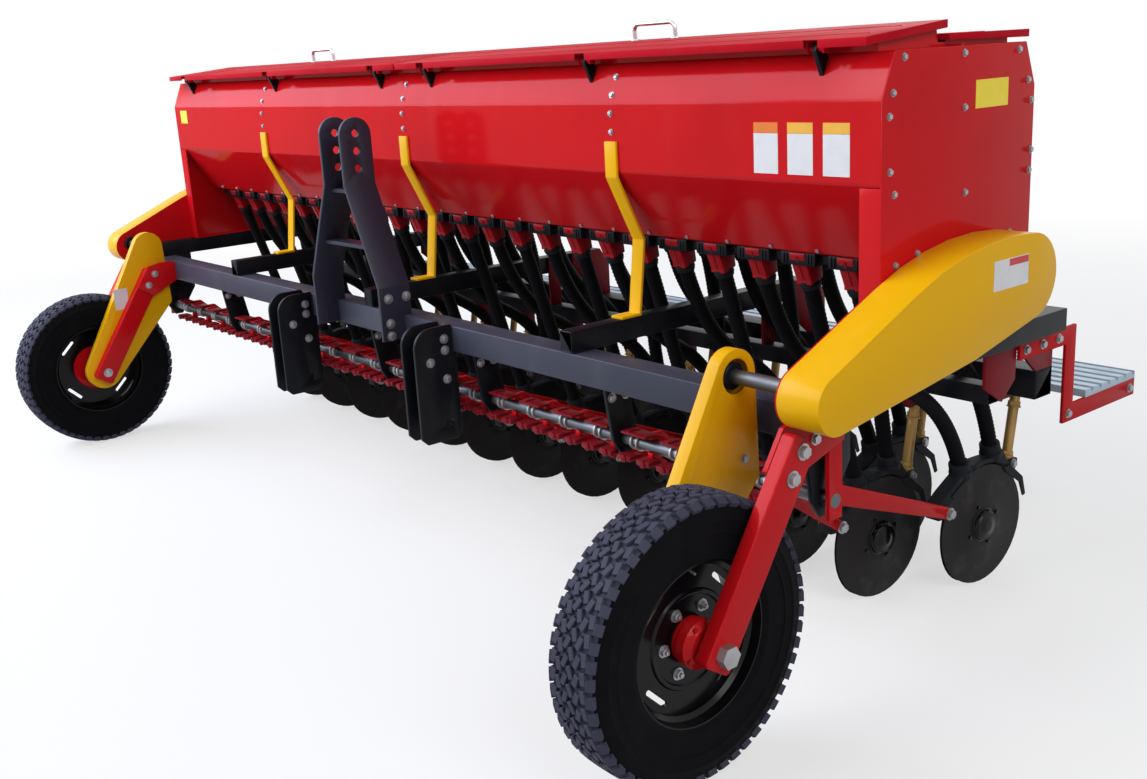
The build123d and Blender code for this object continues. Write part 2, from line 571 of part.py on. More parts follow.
leg_half = LEG_WIDTH / 2
plate_low = leg_length - LEG_PLATE_REACH
plate_high = leg_length + LEG_PLATE_REACH
bolt_plate = [on_leg(plate_low, leg_half), on_leg(plate_low, -leg_half), (BEAM_FRONT_Y, BEAM_FOOT_Z),
              (BEAM_FRONT_Y, BEAM_TOP_Z), on_leg(plate_high, 0), on_leg(plate_high - leg_half, leg_half)]
end_plate = [on_leg(plate_low, leg_half), on_leg(plate_low, -leg_half), (BEAM_REAR_Y, BEAM_FOOT_Z),
             (BEAM_REAR_Y, BEAM_TOP_Z), (BEAM_FRONT_Y, BEAM_TOP_Z),
             on_leg(plate_high, 0), on_leg(plate_high - leg_half, leg_half)]
for side_name, side in SIDES:
    with BuildPart() as legs:
        corner_out = leg_half - LEG_CORNER_R
        ends = (LEG_CORNER_R - leg_half, leg_length + corner_out / 2)
        leg = [(*on_leg(along, out), LEG_CORNER_R) for along in ends for out in (-corner_out, corner_out)]
        for x in (LEG_INNER_X, LEG_OUTER_X):
            rounded(leg, x, x + LEG_THICK)
        if side < 0:
            mirror(about=Plane.YZ, mode=Mode.REPLACE)
    save(legs, f"legs_{side_name}")

    with BuildPart() as leg_plates:
        plate(bolt_plate, LEG_INNER_X - LEG_PLATE, LEG_INNER_X)
        plate(end_plate, LEG_OUTER_X - LEG_PLATE, LEG_OUTER_X)
        # the bar that hangs from the beam's end and holds the end of the hinge shaft
        bar_front_y = HINGE_SHAFT_Y - DROP_BAR / 2
        bar_rear_y = HINGE_SHAFT_Y + DROP_BAR / 2
        plate([(bar_front_y, BEAM_FOOT_Z), (bar_rear_y, BEAM_FOOT_Z),
               (bar_rear_y, HINGE_SHAFT_Z - DROP_BAR), (bar_front_y, HINGE_SHAFT_Z - DROP_BAR)],
              BEAM_HALF - LEG_PLATE, BEAM_HALF)
        with BuildSketch(Plane.YZ.offset(BEAM_HALF - LEG_PLATE)):
            with Locations((HINGE_SHAFT_Y, HINGE_SHAFT_Z)):
                Circle(HINGE_SHAFT_R + CLEAR)
        extrude(amount=LEG_PLATE, mode=Mode.SUBTRACT)
        if side < 0:
            mirror(about=Plane.YZ, mode=Mode.REPLACE)
    save(leg_plates, f"leg_plates_{side_name}")

    with BuildPart() as axle:
        with BuildSketch(Plane.YZ.offset(CASE_INNER_X)):
            with Locations((WHEEL_Y, WHEEL_Z)):
                Circle(AXLE_R)
        extrude(amount=LEG_OUTER_X - CASE_INNER_X)
        with BuildSketch(Plane.YZ.offset(leg_outer_face)):
            with Locations((WHEEL_Y, WHEEL_Z)):
                RegularPolygon(AXLE_NUT_R, 6)
        extrude(amount=AXLE_NUT)
        if side < 0:
            mirror(about=Plane.YZ, mode=Mode.REPLACE)
    save(axle, f"axle_{side_name}")

    with BuildPart() as chain_case:
        case = [(CROSS_SHAFT_Y, CROSS_SHAFT_Z, CASE_TOP_R), (WHEEL_Y, WHEEL_Z, CASE_FOOT_R),
                (CASE_HEEL_Y - CASE_HEEL_R, CASE_HEEL_Z, CASE_HEEL_R)]
        rounded(case, CASE_INNER_X, CASE_X)
        rounded(case, CASE_INNER_X + GUARD_PLATE, CASE_X - GUARD_PLATE, GUARD_PLATE, Mode.SUBTRACT)
        # the cross shaft leaves through the outer wall, and the axle passes through both
        rounded([(CROSS_SHAFT_Y, CROSS_SHAFT_Z, CASE_EYE_R)], CASE_X - GUARD_PLATE, CASE_X, mode=Mode.SUBTRACT)
        rounded([(WHEEL_Y, WHEEL_Z, AXLE_R + CLEAR)], CASE_INNER_X, CASE_X, mode=Mode.SUBTRACT)
        if side < 0:
            mirror(about=Plane.YZ, mode=Mode.REPLACE)
    save(chain_case, f"chain_case_{side_name}")

    with BuildPart() as cross_shaft:
        start = CASE_INNER_X + GUARD_PLATE
        with BuildSketch(Plane.YZ.offset(start)):
            with Locations((CROSS_SHAFT_Y, CROSS_SHAFT_Z)):
                Circle(CROSS_SHAFT_R)
        extrude(amount=HOPPER_HALF - start)
        if side < 0:
            mirror(about=Plane.YZ, mode=Mode.REPLACE)
    save(cross_shaft, f"cross_shaft_{side_name}")

    # the crown is one long arc that runs into the round rear end
    crown_reach = GUARD_CROWN_R - GUARD_REAR_R
    crown_y = GUARD_REAR_Y - GUARD_CROWN_IN
    crown_z = GUARD_REAR_Z - math.sqrt(crown_reach ** 2 - GUARD_CROWN_IN ** 2)
    crown_turns = [math.radians(GUARD_CROWN_TURN * share) for share in (0, 0.25, 0.5, 0.75, 1)]
    crown_inner_r = GUARD_CROWN_R - GUARD_CORNER_R
    guard_outline = [(CROSS_SHAFT_Y, GUARD_FRONT_Z, GUARD_FRONT_R), (GUARD_REAR_Y, GUARD_REAR_Z, GUARD_REAR_R),
                     (GUARD_HEEL_Y, GUARD_HEEL_Z + GUARD_CORNER_R, GUARD_CORNER_R)]
    guard_outline += [(crown_y - crown_inner_r * math.sin(turn), crown_z + crown_inner_r * math.cos(turn),
                       GUARD_CORNER_R) for turn in crown_turns]
    guard_x = HOPPER_HALF + GUARD_PLATE
    with BuildPart() as guard_back:
        rounded(guard_outline, HOPPER_HALF, guard_x)
        if side < 0:
            mirror(about=Plane.YZ, mode=Mode.REPLACE)
    save(guard_back, f"guard_back_{side_name}")

    with BuildPart() as drive_guard:
        # a deep cover, open towards its backing plate
        rounded(guard_outline, guard_x, guard_x + GUARD_THICK)
        rounded(guard_outline, guard_x, guard_x + GUARD_THICK - GUARD_PLATE, GUARD_PLATE, Mode.SUBTRACT)
        if side < 0:
            mirror(about=Plane.YZ, mode=Mode.REPLACE)
    save(drive_guard, f"drive_guard_{side_name}")

# ---------------------------------------------------------------- openers
with BuildPart() as hinge_shaft:
    with BuildSketch(Plane.YZ.offset(-BEAM_HALF)):
        with Locations((HINGE_SHAFT_Y, HINGE_SHAFT_Z)):
            Circle(HINGE_SHAFT_R)
    extrude(amount=2 * BEAM_HALF)
save(hinge_shaft, "hinge_shaft")

with BuildPart() as hangers:
    eye_out = HINGE_SHAFT_R + HANGER_EYE
    eye_front = HINGE_SHAFT_Y - eye_out
    eye_rear = HINGE_SHAFT_Y + eye_out
    eye_low = HINGE_SHAFT_Z - eye_out
    eye = [(eye_rear, HINGE_SHAFT_Z), (eye_rear - HANGER_EYE, eye_low),
           (eye_front + HANGER_EYE, eye_low), (eye_front, HINGE_SHAFT_Z)]
    brace_y = BEAM_REAR_Y + HANGER_BRACE
    middle = [(BEAM_FRONT_Y, BEAM_FOOT_Z), (BEAM_REAR_Y, BEAM_FOOT_Z), *eye]
    end = [(BEAM_FRONT_Y, BEAM_FOOT_Z), (BEAM_REAR_Y, BEAM_FOOT_Z), (BEAM_REAR_Y, BEAM_TOP_Z),
           (brace_y, BEAM_TOP_Z), (brace_y, BEAM_FOOT_Z - HANGER_BRACE), *eye]
    span = HANGER_ROWS * ROW_PITCH
    last = int((RAIL_INNER_X - ROW_PITCH) / span)
    for k in range(-last, last + 1):
        plate(middle, k * span - HANGER_PLATE / 2, k * span + HANGER_PLATE / 2)
    plate(end, RAIL_INNER_X, RAIL_INNER_X + HANGER_PLATE)
    plate(end, -RAIL_INNER_X - HANGER_PLATE, -RAIL_INNER_X)
    with BuildSketch(Plane.YZ.offset(-HOPPER_HALF)):
        with Locations((HINGE_SHAFT_Y, HINGE_SHAFT_Z)):
            Circle(HINGE_SHAFT_R + CLEAR)
    extrude(amount=HOPPER_LENGTH, mode=Mode.SUBTRACT)
save(hangers, "hangers")

# one opener's pieces, made about the middle of its two discs at X = 0
with BuildPart() as disc:
    disc_plane = Plane(origin=(DISC_HALF_GAP, 0, DISC_R),
                       x_dir=(0, 0, 1),
                       z_dir=(math.cos(math.radians(DISC_TOE)), -math.sin(math.radians(DISC_TOE)), 0))
    with BuildSketch(disc_plane.offset(-DISC_THICK / 2)):
        RegularPolygon(DISC_R, DISC_SIDES)
    extrude(amount=DISC_THICK)
    with BuildSketch(disc_plane.offset(-DISC_HALF_GAP)):
        RegularPolygon(DISC_BOSS_R, 6)
    extrude(amount=DISC_HALF_GAP + DISC_THICK / 2 + DISC_CAP)
    split(bisect_by=Plane.YZ.offset(BODY_WEB / 2), keep=Keep.TOP)

with BuildPart() as disc_pair:
    add(disc.part)
    mirror(disc.part, about=Plane.YZ)

ring_r = DISC_R + BODY_CLEAR


def socket(u, w, lean):
    """The two corners of a hose socket whose mouth is square to the hose."""
    across = Vector(math.cos(math.radians(lean)), math.sin(math.radians(lean)))
    low = Vector(u, w) - across * (HOSE_R + 4)
    high = Vector(u, w) + across * (HOSE_R + 4)
    return [(low.X, low.Y), (high.X, high.Y)]


with BuildPart() as body:
    # local X runs to the rear and local Y up from the disc centre
    body_plane = Plane(origin=(0, 0, DISC_R), x_dir=(0, 1, 0), z_dir=(1, 0, 0))
    with BuildSketch(body_plane.offset(-BODY_WIDTH / 2)):
        with BuildLine():
            arch = CenterArc((0, 0), ring_r, 40, 118)
            Polyline(arch @ 1, (ARM_END_U - ARM_END_HALF, ARM_END_W - ARM_END_HALF),
                     (ARM_END_U - ARM_END_HALF, ARM_END_W + ARM_END_HALF), (-DISC_R, DISC_R - BODY_NOSE),
                     *socket(FRONT_SOCKET_U, FRONT_SOCKET_W, HOSE_FRONT_LEAN), (-BODY_DIP, ring_r + BODY_TOP),
                     *socket(REAR_SOCKET_U, REAR_SOCKET_W, HOSE_REAR_LEAN),
                     (ROD_FOOT_U - ROD_SEAT, ROD_FOOT_W), (ROD_FOOT_U + ROD_SEAT, ROD_FOOT_W),
                     (ROD_FOOT_U + ROD_SEAT, ROD_FOOT_W - ROD_SEAT), arch @ 0)
        make_face()
    extrude(amount=BODY_WIDTH)
    with BuildSketch(body_plane.offset(-BODY_WEB / 2)):
        with BuildLine():
            Polyline((-DISC_BOSS_R, -DISC_BOSS_R), (DISC_BOSS_R, -DISC_BOSS_R),
                     (BODY_WEB_HALF, ring_r), (-BODY_WEB_HALF, ring_r), close=True)
        make_face()
    extrude(amount=BODY_WEB)

# columns: rank, row places, disc centres
rank_table = (("front", front_rows, FRONT_ROW_Y), ("rear", rear_rows, REAR_ROW_Y))
for rank, rows, centre_y in rank_table:
    with BuildPart() as discs:
        with Locations(*[(x, centre_y, 0) for x in rows]):
            add(disc_pair.part)
    save(discs, f"discs_{rank}")

    with BuildPart() as bodies:
        with Locations(*[(x, centre_y, 0) for x in rows]):
            add(body.part)
    save(bodies, f"opener_bodies_{rank}")

    with BuildPart() as arms:
        end_y = centre_y + ARM_END_U
        end_z = DISC_R + ARM_END_W
        notch = HINGE_SHAFT_R + CLEAR
        outer = notch + ARM_EYE
        mouth_y = HINGE_SHAFT_Y - notch / 2
        neck_y = HINGE_SHAFT_Y + 2 * outer
        # a fork over and under the hinge shaft, then a bar that tapers to the opener
        outline = [(mouth_y, HINGE_SHAFT_Z + notch), (mouth_y, HINGE_SHAFT_Z + outer),
                   (HINGE_SHAFT_Y + outer, HINGE_SHAFT_Z + outer),
                   (neck_y, HINGE_SHAFT_Z + ARM_FRONT_HALF - ARM_DROP),
                   (end_y, end_z + ARM_REAR_HALF), (end_y + ARM_REAR_HALF, end_z), (end_y, end_z - ARM_REAR_HALF),
                   (neck_y, HINGE_SHAFT_Z - ARM_FRONT_HALF - ARM_DROP),
                   (HINGE_SHAFT_Y + outer, HINGE_SHAFT_Z - outer), (mouth_y, HINGE_SHAFT_Z - outer),
                   (mouth_y, HINGE_SHAFT_Z - notch), (HINGE_SHAFT_Y + notch, HINGE_SHAFT_Z - notch),
                   (HINGE_SHAFT_Y + notch, HINGE_SHAFT_Z + notch)]
        for x in rows:
            plate(outline, x + BODY_WIDTH / 2, x + BODY_WIDTH / 2 + ARM_THICK)
    save(arms, f"drag_arms_{rank}")

    with BuildPart() as rods:
        foot_z = DISC_R + ROD_FOOT_W
        lean_y = ROD_TOP_U - ROD_FOOT_U
        rise = ROD_TOP_Z - foot_z
        for x in rows:
            with BuildSketch(Plane.XY.offset(foot_z)):
                with Locations((x, centre_y + ROD_FOOT_U)):
                    RegularPolygon(ROD_R, ROD_SIDES)
            extrude(amount=math.hypot(lean_y, rise), dir=(0, lean_y, rise))
    save(rods, f"rods_{rank}")

# columns: front face, foot and rear face of the bar that carries the bracket, row places, disc centres
bracket_table = (
    (TOOLBAR_FRONT_Y, TOOLBAR_TOP_Z - BEAM, TOOLBAR_FRONT_Y + BEAM, rear_rows, REAR_ROW_Y),
    (SUBBAR_FRONT_Y, TOOLBAR_TOP_Z - SUBBAR, SUBBAR_FRONT_Y + SUBBAR, front_rows, FRONT_ROW_Y),
)
with BuildPart() as rod_brackets:
    for bar_front, bar_foot, bar_rear, rows, centre_y in bracket_table:
        tip = centre_y + ROD_TOP_U + ROD_SEAT
        outline = [(bar_front + ROD_SEAT, bar_foot), (bar_rear, bar_foot), (bar_rear, TOOLBAR_TOP_Z),
                   (tip, TOOLBAR_TOP_Z - ROD_SEAT), (tip, ROD_TOP_Z), (bar_front + 2 * ROD_SEAT, ROD_TOP_Z)]
        for x in rows:
            plate(outline, x - ROD_BRACKET / 2, x + ROD_BRACKET / 2)
save(rod_brackets, "rod_brackets")

# ---------------------------------------------------------------- hoses
# columns: label, meters at the top, socket from the disc centre, lean, rank, first and last run
hose_table = (
    ("hoses_front_to_front", "front_meters", FRONT_SOCKET_U, FRONT_SOCKET_W, HOSE_FRONT_LEAN, "front", 190, 170),
    ("hoses_front_to_rear", "front_meters", FRONT_SOCKET_U, FRONT_SOCKET_W, HOSE_FRONT_LEAN, "rear", 240, 190),
    ("hoses_rear_to_front", "rear_meters", REAR_SOCKET_U, REAR_SOCKET_W, HOSE_REAR_LEAN, "front", 150, 170),
    ("hoses_rear_to_rear", "rear_meters", REAR_SOCKET_U, REAR_SOCKET_W, HOSE_REAR_LEAN, "rear", 185, 240),
)
rank_places = {rank: (rows, centre_y) for rank, rows, centre_y in rank_table}
for label, meter, socket_u, socket_w, lean, rank, first_run, last_run in hose_table:
    rows, centre_y = rank_places[rank]
    top, drop = hose_tops[meter]
    foot = Vector(centre_y + socket_u, DISC_R + socket_w)
    points = [top, top + drop * first_run, foot - drop * last_run, foot]
    radii = []
    for before, corner, after in zip(points, points[1:], points[2:]):
        turn = math.radians((corner - before).get_angle(after - corner))
        shorter = min((corner - before).length, (after - corner).length)
        radii.append(0.45 * shorter / math.tan(turn / 2))
    with BuildPart() as hose:
        with BuildLine(Plane.YZ) as route:
            FilletPolyline(*[(point.X, point.Y) for point in points], radius=radii)
        with BuildSketch(Plane(origin=(0, top.X, top.Y), x_dir=(1, 0, 0), z_dir=(0, drop.X, drop.Y))):
            RegularPolygon(HOSE_R, HOSE_SIDES)
        sweep()
    section = HOSE_SIDES / 2 * HOSE_R ** 2 * math.sin(2 * math.pi / HOSE_SIDES)
    length = sum(edge.length for edge in route.edges())
    print(label, "radii", [round(r) for r in radii], "length", round(length),
          "volume ratio", round(hose.part.volume / (section * length), 4))
    with BuildPart() as hoses:
        with Locations(*[(x, 0, 0) for x in rows]):
            add(hose.part)
    save(hoses, label)

# ---------------------------------------------------------------- step
with BuildPart() as step_brackets:
    arm_z = STEP_FOOT_Z + STEP_BAR
    end_bar = [(step_arm_front_y, STEP_TOP_Z), (step_arm_front_y, STEP_TOP_Z - STEP_BAR),
               (STEP_POST_Y, STEP_TOP_Z - STEP_BAR), (STEP_POST_Y, STEP_FOOT_Z), (HALF_DEPTH, STEP_FOOT_Z),
               (HALF_DEPTH, arm_z), (STEP_POST_Y + STEP_BAR, arm_z), (STEP_POST_Y + STEP_BAR, STEP_TOP_Z)]
    mid_bar = [(toolbar_rear_y, STEP_FOOT_Z), (HALF_DEPTH, STEP_FOOT_Z), (HALF_DEPTH, arm_z),
               (toolbar_rear_y + STEP_BAR, arm_z), (toolbar_rear_y + STEP_BAR, TOOLBAR_TOP_Z),
               (toolbar_rear_y, TOOLBAR_TOP_Z)]
    plate(end_bar, RAIL_INNER_X, RAIL_INNER_X + STEP_BAR_THICK)
    plate(end_bar, -RAIL_INNER_X - STEP_BAR_THICK, -RAIL_INNER_X)
    for x in (-STEP_MID_X, STEP_MID_X):
        plate(mid_bar, x - STEP_BAR_THICK / 2, x + STEP_BAR_THICK / 2)
save(step_brackets, "step_brackets")

with BuildPart() as step_tread:
    step_depth = HALF_DEPTH - STEP_FRONT_Y
    step_half = RAIL_INNER_X + STEP_BAR_THICK
    rib_pitch = step_depth / STEP_RIBS
    with BuildSketch(Plane.YZ.offset(-step_half)):
        with BuildLine():
            ridges = []
            for k in range(STEP_RIBS):
                y = STEP_FRONT_Y + k * rib_pitch
                ridges += [(y, arm_z + STEP_PLANK), (y + rib_pitch * 0.6, arm_z + STEP_PLANK),
                           (y + rib_pitch * 0.7, arm_z + STEP_PLANK / 2),
                           (y + rib_pitch * 0.95, arm_z + STEP_PLANK / 2)]
            Polyline((STEP_FRONT_Y, arm_z), *ridges, (HALF_DEPTH, arm_z + STEP_PLANK), (HALF_DEPTH, arm_z), close=True)
        make_face()
    extrude(amount=2 * step_half)
save(step_tread, "step_tread")

# ---------------------------------------------------------------- lids
lid_inner_x = LID_GAP / 2
lid_outer_x = HOPPER_HALF - LID_END_IN
hinge_front_y = hopper_top_y - HINGE_OUT
hinge_z = HOPPER_TOP_Z + HINGE_UP
hinge_xs = [lid_inner_x + (lid_outer_x - lid_inner_x) * share for share in (0.08, 0.5, 0.92)]

with BuildPart() as lid_hinges:
    # plates on the hopper's shoulders, bored for the lids' pins
    slope = HOPPER_SHOULDER_IN / (HOPPER_TOP_Z - HOPPER_SHOULDER_Z)
    high = HOPPER_TOP_Z - 8
    low = HOPPER_TOP_Z - 48
    seat = [(hopper_top_y - (HOPPER_TOP_Z - high) * slope, high), (hopper_top_y - (HOPPER_TOP_Z - low) * slope, low),
            (hinge_front_y - 12, hinge_z - 4), (hinge_front_y - 7, hinge_z + 10), (hinge_front_y + 7, hinge_z + 10)]
    for x in [sign * x for sign in (-1, 1) for x in hinge_xs]:
        plate(seat, x - HINGE_PLATE / 2, x + HINGE_PLATE / 2)
        plate([(2 * HOPPER_MID_Y - y, z) for y, z in seat], x - HINGE_PLATE / 2, x + HINGE_PLATE / 2)
    with BuildSketch(Plane.YZ.offset(-HOPPER_HALF)):
        with Locations((hinge_front_y, hinge_z), (2 * HOPPER_MID_Y - hinge_front_y, hinge_z)):
            Circle(HINGE_PIN_R + CLEAR)
    extrude(amount=HOPPER_LENGTH, mode=Mode.SUBTRACT)
save(lid_hinges, "lid_hinges")

lip_front_y = HOPPER_FRONT_Y - LID_FACE_OUT
lip_rear_y = HOPPER_REAR_Y + LID_FACE_OUT
ridge_y = HOPPER_MID_Y - LID_RIDGE_IN
front_top = [(lip_front_y, LID_FRONT_Z - LID_LIP), (lip_front_y, LID_FRONT_Z),
             (ridge_y, LID_FRONT_Z + LID_RISE), (ridge_y, LID_FRONT_Z + LID_RISE - LID_LIP)]
rear_top = [(ridge_y + LID_GAP, LID_REAR_Z - LID_LIP + 4), (ridge_y + LID_GAP, LID_REAR_Z),
            (lip_rear_y, LID_REAR_Z), (lip_rear_y, LID_REAR_Z - LID_LIP)]
# columns: rank, section, hinge axis, lip at the hinge, top of the lid over the pin
lid_table = (
    ("front", front_top, hinge_front_y, lip_front_y, LID_FRONT_Z + 3),
    ("rear", rear_top, 2 * HOPPER_MID_Y - hinge_front_y, lip_rear_y, LID_REAR_Z),
)
for rank, section, pin_axis_y, lip_y, over_z in lid_table:
    for side_name, side in SIDES:
        with BuildPart() as lid:
            folded(section, LID_SHEET, lid_inner_x, lid_outer_x, Side.RIGHT)
            # the skirt over the hopper's end
            plate(section, lid_outer_x - LID_SHEET, lid_outer_x)
            for x in hinge_xs:
                with Locations((x, lip_y, over_z - LID_LIP)):
                    Box(HINGE_NOTCH, 4 * LID_SHEET, 2 * (LID_LIP - LID_SHEET), mode=Mode.SUBTRACT)
                for ear_x in (x - HINGE_NOTCH / 2 - 6, x + HINGE_NOTCH / 2):
                    plate([(pin_axis_y - 9, hinge_z - 9), (pin_axis_y + 9, hinge_z - 9),
                           (pin_axis_y + 9, over_z - LID_SHEET / 2), (pin_axis_y - 9, over_z - LID_SHEET / 2)],
                          ear_x, ear_x + 6)
                with BuildSketch(Plane.YZ.offset(x - HINGE_NOTCH / 2)):
                    with Locations((pin_axis_y, hinge_z)):
                        Circle(HINGE_PIN_R)
                extrude(amount=HINGE_NOTCH)
            if side < 0:
                mirror(about=Plane.YZ, mode=Mode.REPLACE)
        save(lid, f"lid_{rank}_{side_name}")

handle_y = ridge_y - HANDLE_IN
handle_z = LID_FRONT_Z + LID_RISE * (handle_y - lip_front_y) / (ridge_y - lip_front_y)
lid_normal = Vector(0, -LID_RISE, ridge_y - lip_front_y).normalized()
for side_name, side in SIDES:
    seat_plane = Plane(origin=(side * HANDLE_X, handle_y, handle_z), x_dir=(1, 0, 0), z_dir=lid_normal)
    with BuildPart() as handle:
        with BuildLine(Plane(seat_plane.origin, x_dir=seat_plane.x_dir, z_dir=seat_plane.y_dir * -1)):
            half = HANDLE_LENGTH / 2
            FilletPolyline((-half, 0), (-half, HANDLE_RISE), (half, HANDLE_RISE), (half, 0), radius=18)
        with BuildSketch(seat_plane):
            with Locations((-half, 0)):
                Circle(HANDLE_R)
        sweep()
    save(handle, f"lid_handle_{side_name}")
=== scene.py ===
"""Looks of a mounted seed drill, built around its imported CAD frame.

All sizes are in metres. X runs across the machine, the tractor is towards -Y and Z is up.
"""

from __future__ import annotations

import json
import logging
import math
from dataclasses import dataclass
from enum import Enum
from typing import Iterable, Sequence

import bmesh
import bpy
from mathutils import Matrix, Vector

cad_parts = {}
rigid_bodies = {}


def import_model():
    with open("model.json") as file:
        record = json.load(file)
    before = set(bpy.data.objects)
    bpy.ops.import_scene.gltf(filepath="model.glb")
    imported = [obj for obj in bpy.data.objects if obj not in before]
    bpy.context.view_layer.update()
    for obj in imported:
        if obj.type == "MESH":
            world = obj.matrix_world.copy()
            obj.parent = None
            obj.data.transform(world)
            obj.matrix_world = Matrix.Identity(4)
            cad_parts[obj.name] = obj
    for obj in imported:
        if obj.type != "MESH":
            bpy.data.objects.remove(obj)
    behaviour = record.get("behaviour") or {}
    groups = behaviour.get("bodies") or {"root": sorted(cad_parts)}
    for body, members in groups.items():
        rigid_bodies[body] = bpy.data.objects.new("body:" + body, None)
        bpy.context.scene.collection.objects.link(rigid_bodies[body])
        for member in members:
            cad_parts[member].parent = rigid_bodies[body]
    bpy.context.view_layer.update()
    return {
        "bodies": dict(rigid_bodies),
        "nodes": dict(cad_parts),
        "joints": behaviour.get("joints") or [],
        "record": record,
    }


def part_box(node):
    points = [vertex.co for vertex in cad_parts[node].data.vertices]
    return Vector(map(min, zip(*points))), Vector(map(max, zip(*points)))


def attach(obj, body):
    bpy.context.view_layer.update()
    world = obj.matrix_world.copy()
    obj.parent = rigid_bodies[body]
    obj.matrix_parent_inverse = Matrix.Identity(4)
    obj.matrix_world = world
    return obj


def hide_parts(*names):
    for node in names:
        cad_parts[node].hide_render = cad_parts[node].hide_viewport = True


log = logging.getLogger("seed_drill")

Colour = tuple[float, float, float]
Pair = tuple[float, float]
Points = tuple[Pair, ...]
Mesh = bpy.types.Mesh
Socket = bpy.types.NodeSocket
SIDES = (("left", -1), ("right", 1))
# distance within which vertices are merged, and greatest angle in degrees that is shaded smooth
MERGE = 1e-5
SMOOTH = 35.0


# ---- shader maths
class Wire:
    """A value socket that takes part in Python expressions.

    Args:
        graph: The node graph that the socket belongs to.
        socket: An output socket that gives a value.
    """

    def __init__(self, graph: "Graph", socket: Socket) -> None:
        """Keeps the graph and the socket."""
        self.graph = graph
        self.socket = socket

    def _maths(self, operation: str, *values: object) -> "Wire":
        """Adds a Math node on these values."""
        links = {place: value for place, value in enumerate(values)}
        return Wire(self.graph, self.graph.node("ShaderNodeMath", {"operation": operation}, links).outputs[0])

    def __add__(self, other: object) -> "Wire":
        """Sum."""
        return self._maths("ADD", self, other)

    def __radd__(self, other: object) -> "Wire":
        """Sum with a number before it."""
        return self._maths("ADD", other, self)

    def __sub__(self, other: object) -> "Wire":
        """Difference."""
        return self._maths("SUBTRACT", self, other)

    def __rsub__(self, other: object) -> "Wire":
        """Difference from a number."""
        return self._maths("SUBTRACT", other, self)

    def __mul__(self, other: object) -> "Wire":
        """Product."""
        return self._maths("MULTIPLY", self, other)

    def __rmul__(self, other: object) -> "Wire":
        """Product with a number before it."""
        return self._maths("MULTIPLY", other, self)

    def __pow__(self, other: object) -> "Wire":
        """Power."""
        return self._maths("POWER", self, other)

    def ramp(self, low: float, high: float) -> "Wire":
        """Rises smoothly from zero at low to one at high.

        Args:
            low: Value where the ramp starts.
            high: Value where it ends.

        Returns:
            The ramp, from zero to one.
        """
        settings = {"interpolation_type": "SMOOTHSTEP"}
        links = {"Value": self, "From Min": low, "From Max": high}
        return Wire(self.graph, self.graph.node("ShaderNodeMapRange", settings, links).outputs[0])


class Graph:
    """The node graph of one material.

    Args:
        name: The material's name.
    """

    def __init__(self, name: str) -> None:
        """Makes the material with its Principled shader."""
        self.material = bpy.data.materials.new(name)
        self.material.use_nodes = True
        self.tree = self.material.node_tree
        self.shader = self.tree.nodes["Principled BSDF"]
        self._place: Socket | None = None

    def node(self, kind: str, settings: dict | None = None, links: dict | None = None) -> bpy.types.Node:
        """Adds one node.

        Args:
            kind: The node's type.
            settings: Properties, set first.
            links: Values or links by socket name or number.

        Returns:
            The new node.
        """
        made = self.tree.nodes.new(kind)
        for key, value in (settings or {}).items():
            setattr(made, key, value)
        for key, value in (links or {}).items():
            self.feed(made.inputs[key], value)
        return made

    def feed(self, socket: Socket, value: object) -> None:
        """Links a wire or a socket, or sets a plain value.

        Args:
            socket: The input that takes it.
            value: The wire, socket, number, colour or vector.
        """
        if isinstance(value, Wire):
            self.tree.links.new(value.socket, socket)
        elif isinstance(value, Socket):
            self.tree.links.new(value, socket)
        elif isinstance(value, tuple) and len(value) == 3 and socket.type == "RGBA":
            socket.default_value = (*value, 1.0)
        else:
            socket.default_value = value

    def place(self) -> Socket:
        """Reads the object's own coordinates.

        Returns:
            The socket that gives them.
        """
        if self._place is None:
            self._place = self.node("ShaderNodeTexCoord").outputs["Object"]
        return self._place

    def stretched(self, scale: Colour) -> Socket:
        """The object's coordinates, scaled by axis."""
        return self.node("ShaderNodeMapping", links={"Vector": self.place(), "Scale": scale}).outputs[0]

    def axis(self, name: str) -> Wire:
        """One coordinate, X, Y or Z, as a value."""
        return Wire(self, self.node("ShaderNodeSeparateXYZ", links={0: self.place()}).outputs[name])

    def noise(self, scale: float, detail: float, where: Socket | None = None) -> Wire:
        """Fractal noise.

        Args:
            scale: Waves per metre.
            detail: Number of octaves.
            where: Coordinates, or None for the object's own.

        Returns:
            Noise about one half.
        """
        links = {"Vector": where or self.place(), "Scale": scale, "Detail": detail}
        return Wire(self, self.node("ShaderNodeTexNoise", links=links).outputs[0])

    def blend(self, low: object, high: object, share: object) -> Socket:
        """Mixes two colours.

        Args:
            low: Colour where share is zero.
            high: Colour where share is one.
            share: A wire or a number.

        Returns:
            The mixed colour.
        """
        mix = self.node("ShaderNodeMix", {"data_type": "RGBA"})
        self.feed(mix.inputs[0], share)
        self.feed(mix.inputs[6], low)
        self.feed(mix.inputs[7], high)
        return mix.outputs[2]

    def bump(self, height: Wire, relief: "Relief") -> None:
        """Feeds a height from zero to one into the shader's normal, as deep and strong as a relief says."""
        links = {"Height": height, "Distance": relief.depth, "Strength": relief.strength}
        self.feed(self.shader.inputs["Normal"], self.node("ShaderNodeBump", links=links).outputs[0])

    def set(self, **values: object) -> None:
        """Sets or links the shader's inputs, named with underscores for spaces."""
        for key, value in values.items():
            self.feed(self.shader.inputs[key.replace("_", " ")], value)


